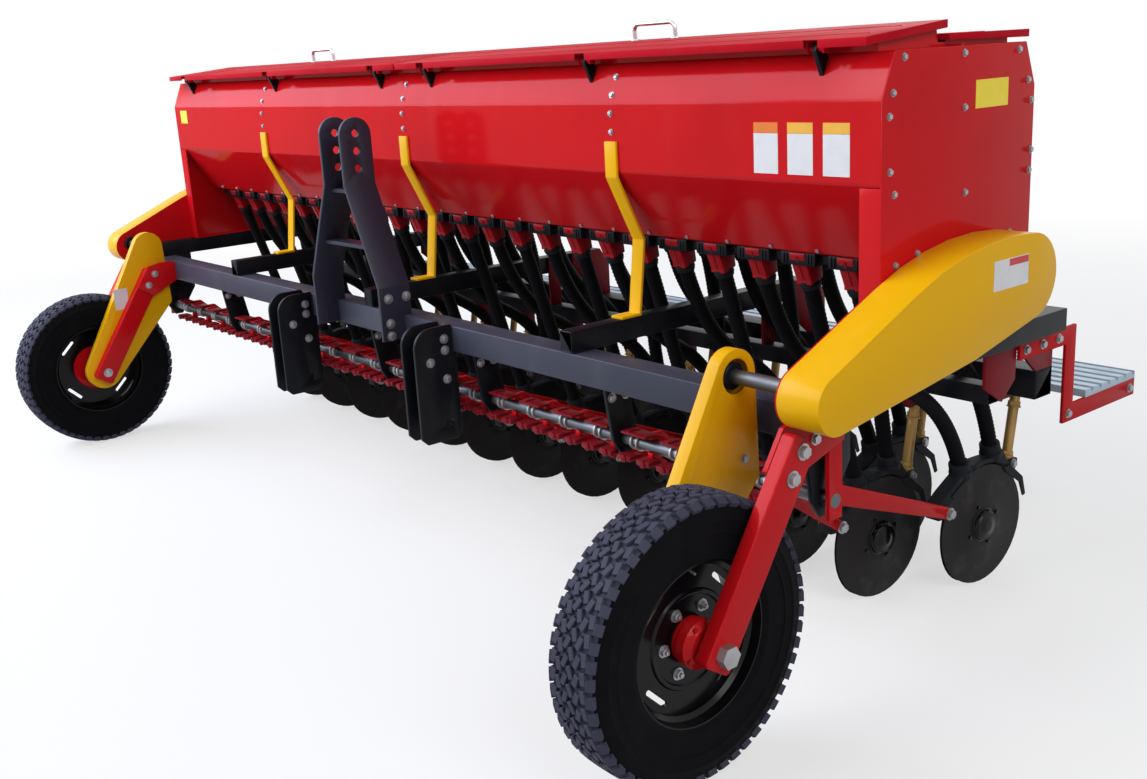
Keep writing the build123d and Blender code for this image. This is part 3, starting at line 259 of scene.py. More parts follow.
# ---- finishes
@dataclass(frozen=True)
class Pattern:
    """Soft-edged patches, and what they do to a finish.

    Attributes:
        scale: Waves per metre.
        detail: Number of octaves.
        low: Noise at which the patches begin.
        high: Noise at which they are full.
        cover: How far their colour shows.
        roughness: Roughness that they add.
    """

    scale: float
    detail: float
    low: float
    high: float
    cover: float = 1.0
    roughness: float = 0.0

    def on(self, graph: Graph, where: Socket | None = None) -> Wire:
        """The patches, from zero to one, at the object's own coordinates or at others."""
        return graph.noise(self.scale, self.detail, where).ramp(self.low, self.high)


@dataclass(frozen=True)
class Relief:
    """A fine grain, and what it does to a finish.

    Attributes:
        scale: Waves per metre.
        detail: Number of octaves.
        depth: Its depth.
        strength: Share of the effect.
        roughness: Roughness that it adds.
    """

    scale: float
    detail: float
    depth: float = 0.0
    strength: float = 0.0
    roughness: float = 0.0

    def on(self, graph: Graph, where: Socket | None = None) -> Wire:
        """The grain's height about one half, at the object's own coordinates or at others."""
        return graph.noise(self.scale, self.detail, where)


def tinted(colour: Colour, share: float, grey: float = 0.0) -> Colour:
    """A colour times a share, with some grey added."""
    return tuple(channel * share + grey for channel in colour)


@dataclass(frozen=True)
class Paint:
    """Sprayed gloss paint with a little dust and orange peel.

    Attributes:
        name: The material's name.
        colour: Linear colour of the clean paint.
        roughness: Roughness of the clean paint.
        coat: Weight of the clear coat.
        dust: Share of pale dust that settles in specks and streaks.
        gloss: Specular level of the paint under the coat.
        coat_roughness: Roughness of the clear coat.
        patches: Where the paint has dulled.
        patch_shade: Brightness of the dulled paint.
        specks: Dust in specks.
        streaks: Dust that has run down.
        stretch: Scale of the streaks by axis.
        dust_share: Share of dust in the dusty tone.
        dust_grey: Grey of the dust.
        dust_gain: How strongly the share of dust shows.
        peel: The orange peel.
    """

    name: str
    colour: Colour
    roughness: float
    coat: float
    dust: float
    gloss: float
    coat_roughness: float = 0.12
    patches: Pattern = Pattern(2.6, 5.0, 0.46, 0.74, 0.55, 0.09)
    patch_shade: float = 0.80
    specks: Pattern = Pattern(90.0, 2.0, 0.60, 0.78, 0.35, 0.48)
    streaks: Pattern = Pattern(9.0, 4.0, 0.50, 0.80, 0.65)
    stretch: Colour = (1.0, 1.0, 0.18)
    dust_share: float = 0.28
    dust_grey: float = 0.45
    dust_gain: float = 2.2
    peel: Relief = Relief(260.0, 2.0, 0.0004, 0.20)

    def build(self) -> bpy.types.Material:
        """Makes the material."""
        graph = Graph(self.name)
        patches = self.patches.on(graph)
        specks = self.specks.on(graph)
        streaks = self.streaks.on(graph, graph.stretched(self.stretch))
        tone = graph.blend(self.colour, tinted(self.colour, self.patch_shade), patches * self.patches.cover)
        dusty = tinted(self.colour, 1 - self.dust_share, self.dust_share * self.dust_grey)
        cover = (specks * self.specks.cover + streaks * self.streaks.cover) * self.dust * self.dust_gain
        tone = graph.blend(tone, dusty, cover)
        rough = self.roughness + patches * self.patches.roughness + specks * self.specks.roughness * self.dust
        graph.set(Base_Color=tone, Roughness=rough, Specular_IOR_Level=self.gloss,
                  Coat_Weight=self.coat, Coat_Roughness=self.coat_roughness)
        graph.bump(self.peel.on(graph), self.peel)
        return graph.material


@dataclass(frozen=True)
class Metal:
    """Bare or plated metal with fine scratches.

    Attributes:
        name: The material's name.
        colour: Linear colour.
        roughness: Least roughness.
        metallic: Metallic weight.
        stretch: Scale of the scratches by axis, long where it is small.
        scratches: The scratches.
        stain: Where the metal has darkened.
        stain_shade: Brightness of the darkened metal.
    """

    name: str
    colour: Colour
    roughness: float
    metallic: float = 1.0
    stretch: Colour = (60.0, 60.0, 60.0)
    scratches: Relief = Relief(6.0, 6.0, 0.0005, 0.22, 0.18)
    stain: Pattern = Pattern(7.0, 4.0, 0.45, 0.75, 0.6, 0.1)
    stain_shade: float = 0.62

    def build(self) -> bpy.types.Material:
        """Makes the material."""
        graph = Graph(self.name)
        scratches = self.scratches.on(graph, graph.stretched(self.stretch))
        stain = self.stain.on(graph)
        tone = graph.blend(self.colour, tinted(self.colour, self.stain_shade), stain * self.stain.cover)
        rough = self.roughness + scratches * self.scratches.roughness + stain * self.stain.roughness
        graph.set(Base_Color=tone, Metallic=self.metallic, Roughness=rough)
        graph.bump(scratches, self.scratches)
        return graph.material


@dataclass(frozen=True)
class Casting:
    """Rough black casting or hard black plastic.

    Attributes:
        name: The material's name.
        colour: Linear colour.
        roughness: Least roughness.
        gloss: Specular level.
        grain: The surface's grain.
        wear: Where the surface is worn.
        wear_share: Brightness of the worn colour.
        wear_grey: Grey that is added to it.
    """

    name: str
    colour: Colour
    roughness: float
    gloss: float
    grain: Relief
    wear: Pattern = Pattern(14.0, 5.0, 0.52, 0.75, 0.6, -0.1)
    wear_share: float = 1.9
    wear_grey: float = 0.01

    def build(self) -> bpy.types.Material:
        """Makes the material."""
        graph = Graph(self.name)
        grain, wear = self.grain.on(graph), self.wear.on(graph)
        worn = tinted(self.colour, self.wear_share, self.wear_grey)
        tone = graph.blend(self.colour, worn, wear * self.wear.cover)
        rough = self.roughness + grain * self.grain.roughness + wear * self.wear.roughness
        graph.set(Base_Color=tone, Specular_IOR_Level=self.gloss, Roughness=rough)
        graph.bump(grain, self.grain)
        return graph.material


@dataclass(frozen=True)
class Rubber:
    """Tyre or hose rubber, greyed by dust in patches.

    Attributes:
        name: The material's name.
        colour: Linear colour of clean rubber.
        dust: Share of grey dust.
        gloss: Specular level.
        roughness: Least roughness.
        grain: The rubber's grain.
        patches: Where dust lies.
        dust_share: Share of dust in the dusty tone.
        dust_grey: Grey of the dust.
    """

    name: str
    colour: Colour
    dust: float
    gloss: float
    roughness: float = 0.55
    grain: Relief = Relief(220.0, 4.0, 0.0006, 0.35, 0.22)
    patches: Pattern = Pattern(11.0, 5.0, 0.40, 0.75)
    dust_share: float = 0.3
    dust_grey: float = 0.12

    def build(self) -> bpy.types.Material:
        """Makes the material."""
        graph = Graph(self.name)
        grain, patches = self.grain.on(graph), self.patches.on(graph)
        dusty = tinted(self.colour, 1 - self.dust_share, self.dust_share * self.dust_grey)
        tone = graph.blend(self.colour, dusty, patches * self.dust)
        graph.set(Base_Color=tone, Specular_IOR_Level=self.gloss,
                  Roughness=self.roughness + grain * self.grain.roughness)
        graph.bump(grain, self.grain)
        return graph.material


@dataclass(frozen=True)
class Label:
    """A blank printed plate under a clear film.

    Attributes:
        name: The material's name.
        colour: Linear colour.
        roughness: Least roughness.
        mottle: Noise of the mottling.
        ramp: Noise at which its colour begins and is full.
        shade: Brightness of the mottled colour.
    """

    name: str
    colour: Colour
    roughness: float = 0.28
    mottle: Relief = Relief(25.0, 3.0, roughness=0.15)
    ramp: Pair = (0.4, 0.7)
    shade: float = 0.95

    def build(self) -> bpy.types.Material:
        """Makes the material."""
        graph = Graph(self.name)
        mottle = self.mottle.on(graph)
        tone = graph.blend(self.colour, tinted(self.colour, self.shade), mottle.ramp(*self.ramp))
        graph.set(Base_Color=tone, Roughness=self.roughness + mottle * self.mottle.roughness)
        return graph.material


class Finish(Enum):
    """Every finish on the machine."""

    RED = Paint("signal_red_paint", (0.60, 0.007, 0.011), 0.40, 0.24, 0.04, 0.0)
    LID_RED = Paint("lid_red_paint", (0.50, 0.007, 0.018), 0.50, 0.0, 0.04, 0.03)
    # the frame's red darkened as painted shade, for the clamps and brackets that lie under the beam
    DARK_RED = Paint("red_paint_with_painted_shade", (0.20, 0.004, 0.010), 0.44, 0.05, 0.05, 0.12)
    YELLOW = Paint("chain_guard_yellow", (0.84, 0.45, 0.003), 0.36, 0.08, 0.03, 0.10)
    # the frame's black paint lightened to slate for the beam and the mast: painted sheen of their lit faces
    SLATE = Paint("beam_paint_with_painted_sheen", (0.044, 0.050, 0.074), 0.42, 0.06, 0.08, 0.18)
    MAST = Paint("mast_paint_with_painted_sheen", (0.026, 0.027, 0.046), 0.40, 0.05, 0.05, 0.20)
    BLACK = Paint("satin_black_paint", (0.005, 0.006, 0.009), 0.42, 0.04, 0.04, 0.10)
    GLOSS_BLACK = Paint("gloss_black_paint", (0.003, 0.003, 0.004), 0.20, 0.10, 0.02, 0.12)
    METER = Paint("meter_red_plastic", (0.32, 0.005, 0.010), 0.42, 0.04, 0.04, 0.15)
    SHAFT = Metal("drawn_steel", (0.13, 0.14, 0.155), 0.34, 1.0, (1.5, 60.0, 60.0))
    BOLT = Metal("zinc_plate", (0.38, 0.38, 0.40), 0.36)
    CHROME = Metal("bright_handle", (0.62, 0.62, 0.64), 0.22)
    ROD = Metal("yellow_zinc_rod", (0.42, 0.26, 0.08), 0.44, 0.55, (60.0, 60.0, 4.0))
    TREAD = Metal("galvanised_tread", (0.40, 0.50, 0.58), 0.44, 0.50, (2.0, 60.0, 60.0))
    DISC = Casting("disc_black", (0.017, 0.015, 0.016), 0.44, 0.12, Relief(160.0, 5.0, 0.0003, 0.4, 0.2))
    CAST = Casting("black_casting", (0.008, 0.009, 0.012), 0.52, 0.12, Relief(160.0, 5.0, 0.0010, 0.4, 0.2))
    HOSE = Rubber("hose_rubber", (0.003, 0.003, 0.004), 0.04, 0.06)
    WALL = Rubber("tyre_wall_rubber", (0.003, 0.003, 0.004), 0.05, 0.05)
    # tyre rubber lightened to a bluish grey: painted sheen of the lit tread blocks, over the black of the wall
    # rubber
    TYRE = Rubber("tyre_tread_rubber_painted_sheen", (0.050, 0.052, 0.080), 0.25, 0.12)
    WHITE = Label("blank_white_plate", (0.76, 0.77, 0.78))
    AMBER = Label("amber_header", (0.86, 0.46, 0.05))
    ORANGE = Label("orange_header", (0.80, 0.20, 0.02))
    HEADER_RED = Label("red_header", (0.60, 0.02, 0.03))
    PLATE_YELLOW = Label("blank_yellow_plate", (0.94, 0.74, 0.03))

    def material(self) -> bpy.types.Material:
        """The finish's material, made at its first use."""
        found = bpy.data.materials.get(self.value.name)
        return found or self.value.build()


# the record's slot that each CAD node's skin or piece takes its finish from
SLOT_FINISH: dict[str, Finish] = {
    "hopper_red": Finish.RED, "lid_red": Finish.LID_RED, "frame_red": Finish.RED,
    # bracket_dark_red takes the frame's red darkened as painted shade
    "bracket_dark_red": Finish.DARK_RED, "frame_grey": Finish.BLACK, "guard_yellow": Finish.YELLOW,
    "shaft_steel": Finish.SHAFT, "disc_steel": Finish.DISC, "cast_black": Finish.CAST,
    "rod_zinc": Finish.ROD, "hose_black": Finish.HOSE, "meter_red": Finish.METER,
    "tread_galvanised": Finish.TREAD, "handle_chrome": Finish.CHROME, "hinge_black": Finish.BLACK,
    "tyre_rubber": Finish.TYRE, "rim_black": Finish.BLACK,
}


# ---- mesh work
def only(items: Iterable, kind: type) -> list:
    """The items of one kind."""
    return [item for item in items if isinstance(item, kind)]


class Form:
    """Shapes gathered in one bmesh, each made in its place."""

    FOLD_SEGMENTS = 4
    # parts of a bolt, as shares of the radius of its head
    WASHER_RADIUS = 1.35
    WASHER_TOP = 0.22
    HEAD_FOOT = 0.20
    HEAD_HEIGHT = 0.75
    HEAD_CHAMFER = 0.10
    # how far a washer is sunk into its seat
    WASHER_SINK = 0.001

    def __init__(self) -> None:
        """Starts an empty mesh."""
        self.bm = bmesh.new()

    def edges_of(self, verts: Iterable) -> list:
        """The edges whose two ends are both among these vertices."""
        chosen = set(verts)
        return list({edge for vert in chosen for edge in vert.link_edges if edge.other_vert(vert) in chosen})

    def soften(self, verts: Iterable, width: float, segments: int = 2) -> None:
        """Bevels the edges among these vertices."""
        self.round_edges(self.edges_of(verts), width, segments)

    def round_edges(self, edges: Sequence, width: float, segments: int = 2) -> None:
        """Bevels these edges."""
        bmesh.ops.bevel(self.bm, geom=edges, offset=width, offset_type="OFFSET", affect="EDGES",
                        segments=segments, profile=0.5, material=-1, clamp_overlap=True)

    def block(self, low: Sequence[float], high: Sequence[float], bevel: float = 0.0, segments: int = 2) -> None:
        """Adds a box.

        Args:
            low: Lowest corner.
            high: Highest corner.
            bevel: Width of its rounded edges, or zero.
            segments: Segments of the rounding.
        """
        size = Vector(high) - Vector(low)
        place = Matrix.Translation((Vector(high) + Vector(low)) / 2) @ Matrix.Diagonal((*size, 1.0))
        verts = bmesh.ops.create_cube(self.bm, size=1.0, matrix=place)["verts"]
        if bevel:
            self.soften(verts, bevel, segments)

    def rod(self, start: Sequence[float], end: Sequence[float], radius: float, sides: int = 20,
            bevel: float = 0.0, end_radius: float | None = None) -> None:
        """Adds a round or many-sided bar between two points.

        Args:
            start: Middle of the first end.
            end: Middle of the second end.
            radius: Radius at the start.
            sides: Number of sides.
            bevel: Width of the chamfer round both ends.
            end_radius: Radius at the end, if it differs.
        """
        start, end = Vector(start), Vector(end)
        along = end - start
        turn = along.to_track_quat("Z", "Y").to_matrix().to_4x4()
        last = radius if end_radius is None else end_radius
        place = Matrix.Translation((start + end) / 2) @ turn
        verts = bmesh.ops.create_cone(self.bm, cap_ends=True, segments=sides, radius1=radius, radius2=last,
                                      depth=along.length, matrix=place)["verts"]
        if bevel:
            self.round_edges([edge for edge in self.edges_of(verts)
                              if any(len(face.verts) > 4 for face in edge.link_faces)], bevel)

    def turned(self, profile: Sequence[Pair], middle: Sequence[float], axis: Sequence[float],
               steps: int = 64, closed: bool = True) -> None:
        """Spins a profile into a ring or a wheel.

        Args:
            profile: Places along the axis and radii, in order.
            middle: A point on the axis, where places are counted from.
            axis: The axis.
            steps: Steps round the circle.
            closed: Whether the profile's last point joins its first.
        """
        along = Vector(axis).normalized()
        out = along.orthogonal().normalized()
        middle = Vector(middle)
        verts = [self.bm.verts.new(middle + along * x + out * r) for x, r in profile]
        ends = zip(verts, verts[1:] + verts[:1]) if closed else zip(verts, verts[1:])
        edges = [self.bm.edges.new(pair) for pair in ends]
        bmesh.ops.spin(self.bm, geom=verts + edges, cent=middle, axis=along, angle=math.tau, steps=steps,
                       use_merge=True)

    def sheet(self, outline: Sequence[Sequence[float]], push: Sequence[float], bevel: float = 0.0,
              segments: int = 2) -> None:
        """Adds a flat plate of any outline.

        Args:
            outline: Its corners in order.
            push: The thickness, as a vector.
            bevel: Width of its rounded edges, or zero.
            segments: Segments of the rounding.
        """
        verts = [self.bm.verts.new(point) for point in outline]
        grown = bmesh.ops.extrude_face_region(self.bm, geom=[self.bm.faces.new(verts)], use_keep_orig=True)["geom"]
        moved = only(grown, bmesh.types.BMVert)
        bmesh.ops.translate(self.bm, verts=moved, vec=Vector(push))
        if bevel:
            self.soften(verts + moved, bevel, segments)

    def ring(self, place: Matrix, radius: float, sides: int) -> list:
        """Adds a circle square to X about a place, and gives its vertices."""
        turned = place @ Matrix.Rotation(math.pi / 2, 4, "Y")
        return bmesh.ops.create_circle(self.bm, segments=sides, radius=radius, matrix=turned)["verts"]

    def pierced(self, loops: Sequence[Sequence], push: Sequence[float], bevel: float = 0.0) -> None:
        """Fills flat loops, with the inner ones as holes, and gives the plate its thickness.

        Args:
            loops: Rings of this form's vertices in one plane.
            push: The thickness, as a vector.
            bevel: Width of its rounded edges, or zero.
        """
        rims = [edge for loop in loops for edge in self.edges_of(loop)]
        filled = bmesh.ops.triangle_fill(self.bm, use_beauty=True, edges=rims)["geom"]
        faces = only(filled, bmesh.types.BMFace)
        grown = bmesh.ops.extrude_face_region(self.bm, geom=faces, use_keep_orig=True)["geom"]
        moved = only(grown, bmesh.types.BMVert)
        bmesh.ops.translate(self.bm, verts=moved, vec=Vector(push))
        if bevel:
            plates = {*faces, *only(grown, bmesh.types.BMFace)}
            self.round_edges([edge for face in plates for edge in face.edges
                              if any(other not in plates for other in edge.link_faces)], bevel, 1)

    def folded(self, points: Sequence[Pair], x_low: float, x_high: float, thickness: float,
               radius: float) -> None:
        """Adds a sheet that is folded across the machine.

        Args:
            points: Its section in Y and Z.
            x_low: One end.
            x_high: The other end.
            thickness: Thickness, towards the left of the section's way where it is positive.
            radius: Size of the round folds.
        """
        before = set(self.bm.faces)
        verts = [self.bm.verts.new((x_low, y, z)) for y, z in points]
        edges = [self.bm.edges.new(pair) for pair in zip(verts, verts[1:])]
        grown = bmesh.ops.extrude_edge_only(self.bm, edges=edges)["geom"]
        moved = only(grown, bmesh.types.BMVert)
        bmesh.ops.translate(self.bm, verts=moved, vec=(x_high - x_low, 0, 0))
        folds = [item for item in self.bm.edges if len(item.link_faces) == 2 and not before & set(item.link_faces)]
        self.round_edges(folds, radius, self.FOLD_SEGMENTS)
        folded = [face for face in self.bm.faces if face not in before]
        bmesh.ops.solidify(self.bm, geom=folded, thickness=thickness)

    def swept(self, path: Sequence[Vector], radii: Sequence[float], across: Sequence[float], sides: int) -> None:
        """Adds a round tube along a path.

        Args:
            path: Points that it follows.
            radii: Its radius at each point.
            across: A direction that is square to the whole path.
            sides: Number of sides.
        """
        steady = Vector(across).normalized()
        frames = []
        earlier, later = [path[0], *path], [*path[1:], path[-1]]
        for before, here, after, radius in zip(earlier, path, later, radii):
            along = (after - before).normalized()
            turn = Matrix((steady, along.cross(steady), along)).transposed().to_4x4()
            frames.append(Matrix.Translation(here) @ turn @ Matrix.Scale(radius, 4))
        ring = bmesh.ops.create_circle(self.bm, cap_ends=True, segments=sides, radius=1.0,
                                       matrix=frames[0])["verts"]
        edges = self.edges_of(ring)
        for start, end in zip(frames, frames[1:]):
            grown = bmesh.ops.extrude_edge_only(self.bm, edges=edges)["geom"]
            ring = only(grown, bmesh.types.BMVert)
            edges = [edge for edge in only(grown, bmesh.types.BMEdge)
                     if edge.verts[0] in ring and edge.verts[1] in ring]
            bmesh.ops.transform(self.bm, matrix=end @ start.inverted(), verts=ring)
        bmesh.ops.contextual_create(self.bm, geom=edges)

    def bolt(self, place: Sequence[float], out: Sequence[float], size: float, washer: bool = True) -> None:
        """Adds a hexagon head on a washer.

        Args:
            place: Middle of the seat.
            out: The way the head points.
            size: Radius of the hexagon.
            washer: Whether a washer lies under it.
        """
        along = Vector(out).normalized()
        start = Vector(place)
        if washer:
            self.rod(start - along * self.WASHER_SINK, start + along * size * self.WASHER_TOP,
                     size * self.WASHER_RADIUS, 16)
            start = start + along * size * self.HEAD_FOOT
        self.rod(start, start + along * size * self.HEAD_HEIGHT, size, 6, size * self.HEAD_CHAMFER)

    def plate(self, low: Sequence[float], high: Sequence[float], bevel: float = 0.0004) -> None:
        """Adds a thin blank plate, with its edges just broken."""
        self.block(low, high, bevel, 1)

    def template(self) -> Mesh:
        """Ends this form.

        Returns:
            Its mesh, which other forms may stamp.
        """
        bmesh.ops.remove_doubles(self.bm, verts=self.bm.verts, dist=MERGE)
        bmesh.ops.recalc_face_normals(self.bm, faces=self.bm.faces)
        mesh = bpy.data.meshes.new("template")
        self.bm.to_mesh(mesh)
        self.bm.free()
        return mesh

    def stamp(self, template: Mesh, places: Iterable[Matrix]) -> None:
        """Adds a copy of a template at each place.

        Args:
            template: The mesh that is copied.
            places: Where the copies stand.
        """
        for place in places:
            copy = template.copy()
            copy.transform(place)
            self.bm.from_mesh(copy)
            bpy.data.meshes.remove(copy)

    def done(self, name: str, body: str, slot: str, finish: Finish | None = None,
             replaces: Sequence[str] = (), smooth: float = SMOOTH) -> bpy.types.Object:
        """Makes the object, in place on its body.

        Args:
            name: The piece's name.
            body: The CAD body that it rides on.
            slot: The record's slot that it takes its finish from.
            finish: Its material, or None for its slot's own.
            replaces: CAD nodes that it stands for.
            smooth: Greatest angle in degrees that is shaded smooth.

        Returns:
            The finished object.
        """
        return place_mesh(name, self.template(), body, finish or SLOT_FINISH[slot], replaces, smooth)


def place_mesh(name: str, mesh: Mesh, body: str, finish: Finish,
               replaces: Sequence[str] = (), smooth: float = SMOOTH) -> bpy.types.Object:
    """Makes an object of a mesh, dresses it and lets it ride.

    Args:
        name: The piece's name.
        mesh: Its mesh, in place.
        body: The CAD body that it rides on.
        finish: Its material.
        replaces: CAD nodes that it stands for.
        smooth: Greatest angle in degrees that is shaded smooth.

    Returns:
        The finished object.
    """
    mesh.name = name
    mesh.materials.clear()
    mesh.materials.append(finish.material())
    made = bpy.data.objects.new(name, mesh)
    bpy.context.scene.collection.objects.link(made)
    mesh.shade_smooth()
    mesh.set_sharp_from_angle(angle=math.radians(smooth))
    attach(made, body)
    if replaces:
        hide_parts(*replaces)
    log.info("%s: %d faces", name, len(mesh.polygons))
    return made


class Skins:
    """Rounded skins over the plain CAD nodes.
    """

    # greatest angle in degrees between two triangles of one flat face
    FLAT = 1.0

    def __init__(self, frame: dict) -> None:
        """Reads each node's body and slot."""
        self.nodes = frame["nodes"]
        record = frame["record"]
        self.slots = {row["node"]: row["material_slot"] for row in record["subparts"]}
        self.bodies = {node: body for body, nodes in record["behaviour"]["bodies"].items() for node in nodes}

    def dress(self, node: str, width: float, segments: int = 2, angle: float = 30.0,
              finish: Finish | None = None) -> bpy.types.Object:
        """Covers a node with a copy whose edges are rounded.

        Args:
            node: The CAD node.
            width: Width of the rounding.
            segments: Segments of the rounding.
            angle: Least angle of an edge that is rounded, in degrees.
            finish: Its finish, or None for its slot's own.

        Returns:
            The skin.
        """
        form = Form()
        work = form.bm
        work.from_mesh(self.nodes[node].data)
        bmesh.ops.remove_doubles(work, verts=work.verts, dist=MERGE)
        bmesh.ops.dissolve_limit(work, angle_limit=math.radians(self.FLAT), verts=work.verts, edges=work.edges)
        form.round_edges([edge for edge in work.edges if len(edge.link_faces) == 2
                          and edge.calc_face_angle(0.0) > math.radians(angle)], width, segments)
        mesh = bpy.data.meshes.new(f"{node}_skin")
        work.to_mesh(mesh)
        work.free()
        slot = self.slots[node]
        return place_mesh(f"{node}_skin", mesh, self.bodies[node], finish or SLOT_FINISH[slot], [node])

    def paint(self, node: str, finish: Finish | None = None) -> None:
        """Gives a CAD node that stays in view its finish.

        Args:
            node: The CAD node.
            finish: Its finish, or None for its slot's own.
        """
        data = self.nodes[node].data
        data.materials.clear()
        data.materials.append((finish or SLOT_FINISH[self.slots[node]]).material())


# ---- places
def corners(node: str) -> tuple[Vector, Vector]:
    """The lowest and the highest corner of a CAD node's box."""
    low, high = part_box(node)
    return Vector(low), Vector(high)


def middle_of(node: str) -> Vector:
    """The middle of a CAD node's box."""
    low, high = corners(node)
    return (low + high) / 2


class Rows:
    """Spacing that the rows share.

    Attributes:
        COUNT: Number of rows.
        PITCH: Spacing of the rows.
        DISC_R: Radius of a disc, whose lowest point is on the ground.
        RANKS: Each rank with the Y of its disc centres.
    """

    COUNT = 24
    PITCH = 0.150
    DISC_R = 0.175
    RANKS = (("front", 0.250), ("rear", 0.520))

    @classmethod
    def xs(cls) -> list[float]:
        """X of each row's middle."""
        return [(row - (cls.COUNT - 1) / 2) * cls.PITCH for row in range(cls.COUNT)]

    @classmethod
    def openers(cls, rank: str, centre_y: float) -> list[Matrix]:
        """Where one rank's openers stand.

        Args:
            rank: "front" or "rear".
            centre_y: The Y of the rank's disc centres.

        Returns:
            One place per row, its origin at the middle between the discs.
        """
        first = 0 if rank == "front" else 1
        return [Matrix.Translation((x, centre_y, cls.DISC_R)) for x in cls.xs()[first::2]]


# ---- frame
@dataclass
class FrameWork:
    """Beams, rails, mast and hitch plates.

    Attributes:
        skins: Skins over the CAD nodes.
        inner_rail: X of the outer two inner rails and half the width of each.
        side_rail: X of the side rails and half the width of each.
        hitch_x: Middle of each pair of lower hitch plates.
        hitch_face: Outer faces of a pair of them from its middle.
        hitch_bolt: Radius of their bolts' heads.
        mast_face: Outer face of the mast's feet.
        mast_bolt: Radius of their bolts' heads.
        hanger_pitch: Spacing of the hanger plates under the beam.
        hanger_face: Faces of a hanger from its middle.
        hanger_bolt: Radius of their bolts' heads.
        bead: Radius of a weld bead.
        bead_gap: Middle of a bead from the edge that it follows.
        plug_wall: Distance of a tube's plug from the tube's outer faces.
        plug: Thickness of a plug.
        plug_bevel: Width of its rounded edges.
        clamp_rings: Places of the bright rings of one row's clamp along the hinge shaft.
    """

    skins: Skins
    inner_rail: Pair = (1.050, 0.025)
    side_rail: Pair = (1.900, 0.030)
    hitch_x: float = 0.450
    hitch_face: float = 0.042
    hitch_bolt: float = 0.011
    mast_face: float = 0.222
    mast_bolt: float = 0.012
    hanger_pitch: float = 0.600
    hanger_face: float = 0.006
    hanger_bolt: float = 0.010
    bead: float = 0.004
    bead_gap: float = 0.0015
    plug_wall: float = 0.0045
    plug: float = 0.004
    plug_bevel: float = 0.002
    clamp_rings: tuple[float, ...] = (-0.030, -0.008)

    def build(self) -> None:
        """Builds the frame's pieces."""
        self.dress_bars()
        self.clamp_bolts()
        self.welds()
        self.shaft_clamps()
        self.tube_ends()

    def dress_bars(self) -> None:
        """Rounds the beams, rails, plates and straps."""
        # the beam takes the frame's black paint lightened to slate as painted sheen
        self.skins.dress("front_beam", 0.006, 3, finish=Finish.SLATE)
        for node in ("toolbar", "side_rails", "inner_rails", "subbar"):
            self.skins.dress(node, 0.005, 3)
        # the mast takes the frame's black paint lightened to slate as painted sheen
        self.skins.dress("hitch_tower", 0.0015, finish=Finish.MAST)
        for node in ("lower_hitch", "hangers", "risers", "struts", "rod_brackets", "step_brackets"):
            self.skins.dress(node, 0.0015)
        self.skins.paint("hinge_shaft")

    def clamp_bolts(self) -> None:
        """Adds the bolts that hold plates to the beams and rails."""
        (_, beam_front, beam_foot), (_, beam_rear, beam_top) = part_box("front_beam")
        plate_y, mast_y, brace_z = beam_front - 0.030, beam_front - 0.052, beam_top + 0.060
        hitch = ((plate_y, beam_top - 0.035), (plate_y, beam_foot + 0.010), (plate_y, beam_foot - 0.080),
                 (beam_front - 0.085, beam_foot - 0.020))
        mast = ((mast_y, beam_foot + 0.020), (mast_y, beam_top - 0.020), (mast_y, brace_z),
                (beam_front + 0.014, brace_z))
        hanger = ((beam_front + 0.020, beam_foot - 0.022), (beam_rear - 0.012, beam_foot - 0.022))
        # columns: middle between two faces, their distance from it, bolts in Y and Z, radius of a head
        rows = [(x, self.hitch_face, hitch, self.hitch_bolt) for x in (-self.hitch_x, self.hitch_x)]
        rows.append((0.0, self.mast_face, mast, self.mast_bolt))
        rows += [(k * self.hanger_pitch, self.hanger_face, hanger, self.hanger_bolt) for k in range(-2, 3)]
        form = Form()
        for middle, half, seats, size in rows:
            for side in (-1, 1):
                for y, z in seats:
                    form.bolt((middle + side * half, y, z), (side, 0, 0), size)
        form.done("frame_bolts", "root", "rod_zinc", Finish.BOLT)

    def welds(self) -> None:
        """Adds the weld beads where the rails and the hitch plates meet the beam."""
        (_, beam_front, _), (_, beam_rear, beam_top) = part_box("front_beam")
        rail_x, rail_half = self.inner_rail
        rail_bead = ((beam_front + 0.003, beam_top + 0.001), (beam_rear - 0.003, beam_top + 0.001))
        hitch_bead = ((beam_front - 0.001, beam_top - 0.076), (beam_front - 0.001, beam_top - 0.004))
        form = Form()
        for middles, half, (start, end) in (((-rail_x, 0.0, rail_x), rail_half, rail_bead),
                                            ((-self.hitch_x, self.hitch_x), self.hitch_face, hitch_bead)):
            for middle in middles:
                for side in (-1, 1):
                    edge = middle + side * (half + self.bead_gap)
                    form.rod((edge, *start), (edge, *end), self.bead, 8)
        form.done("frame_welds", "root", "frame_grey")

    def shaft_clamps(self) -> None:
        """Adds the red clamps of the drag arms and their bright rings along the hinge shaft."""
        low, high = corners("hinge_shaft")
        radius = (high.z - low.z) / 2
        middle = (low + high) / 2
        places = [Matrix.Translation((x, middle.y, middle.z)) for x in Rows.xs()]
        for name, shape, slot, finish in (
            # the clamps take the frame's red darkened as painted shade
            ("arm_clamps", self.clamp(radius), "bracket_dark_red", Finish.DARK_RED),
            ("clamp_rings", self.bright_rings(radius), "rod_zinc", Finish.BOLT),
        ):
            form = Form()
            form.stamp(shape, places)
            form.done(name, "root", slot, finish)

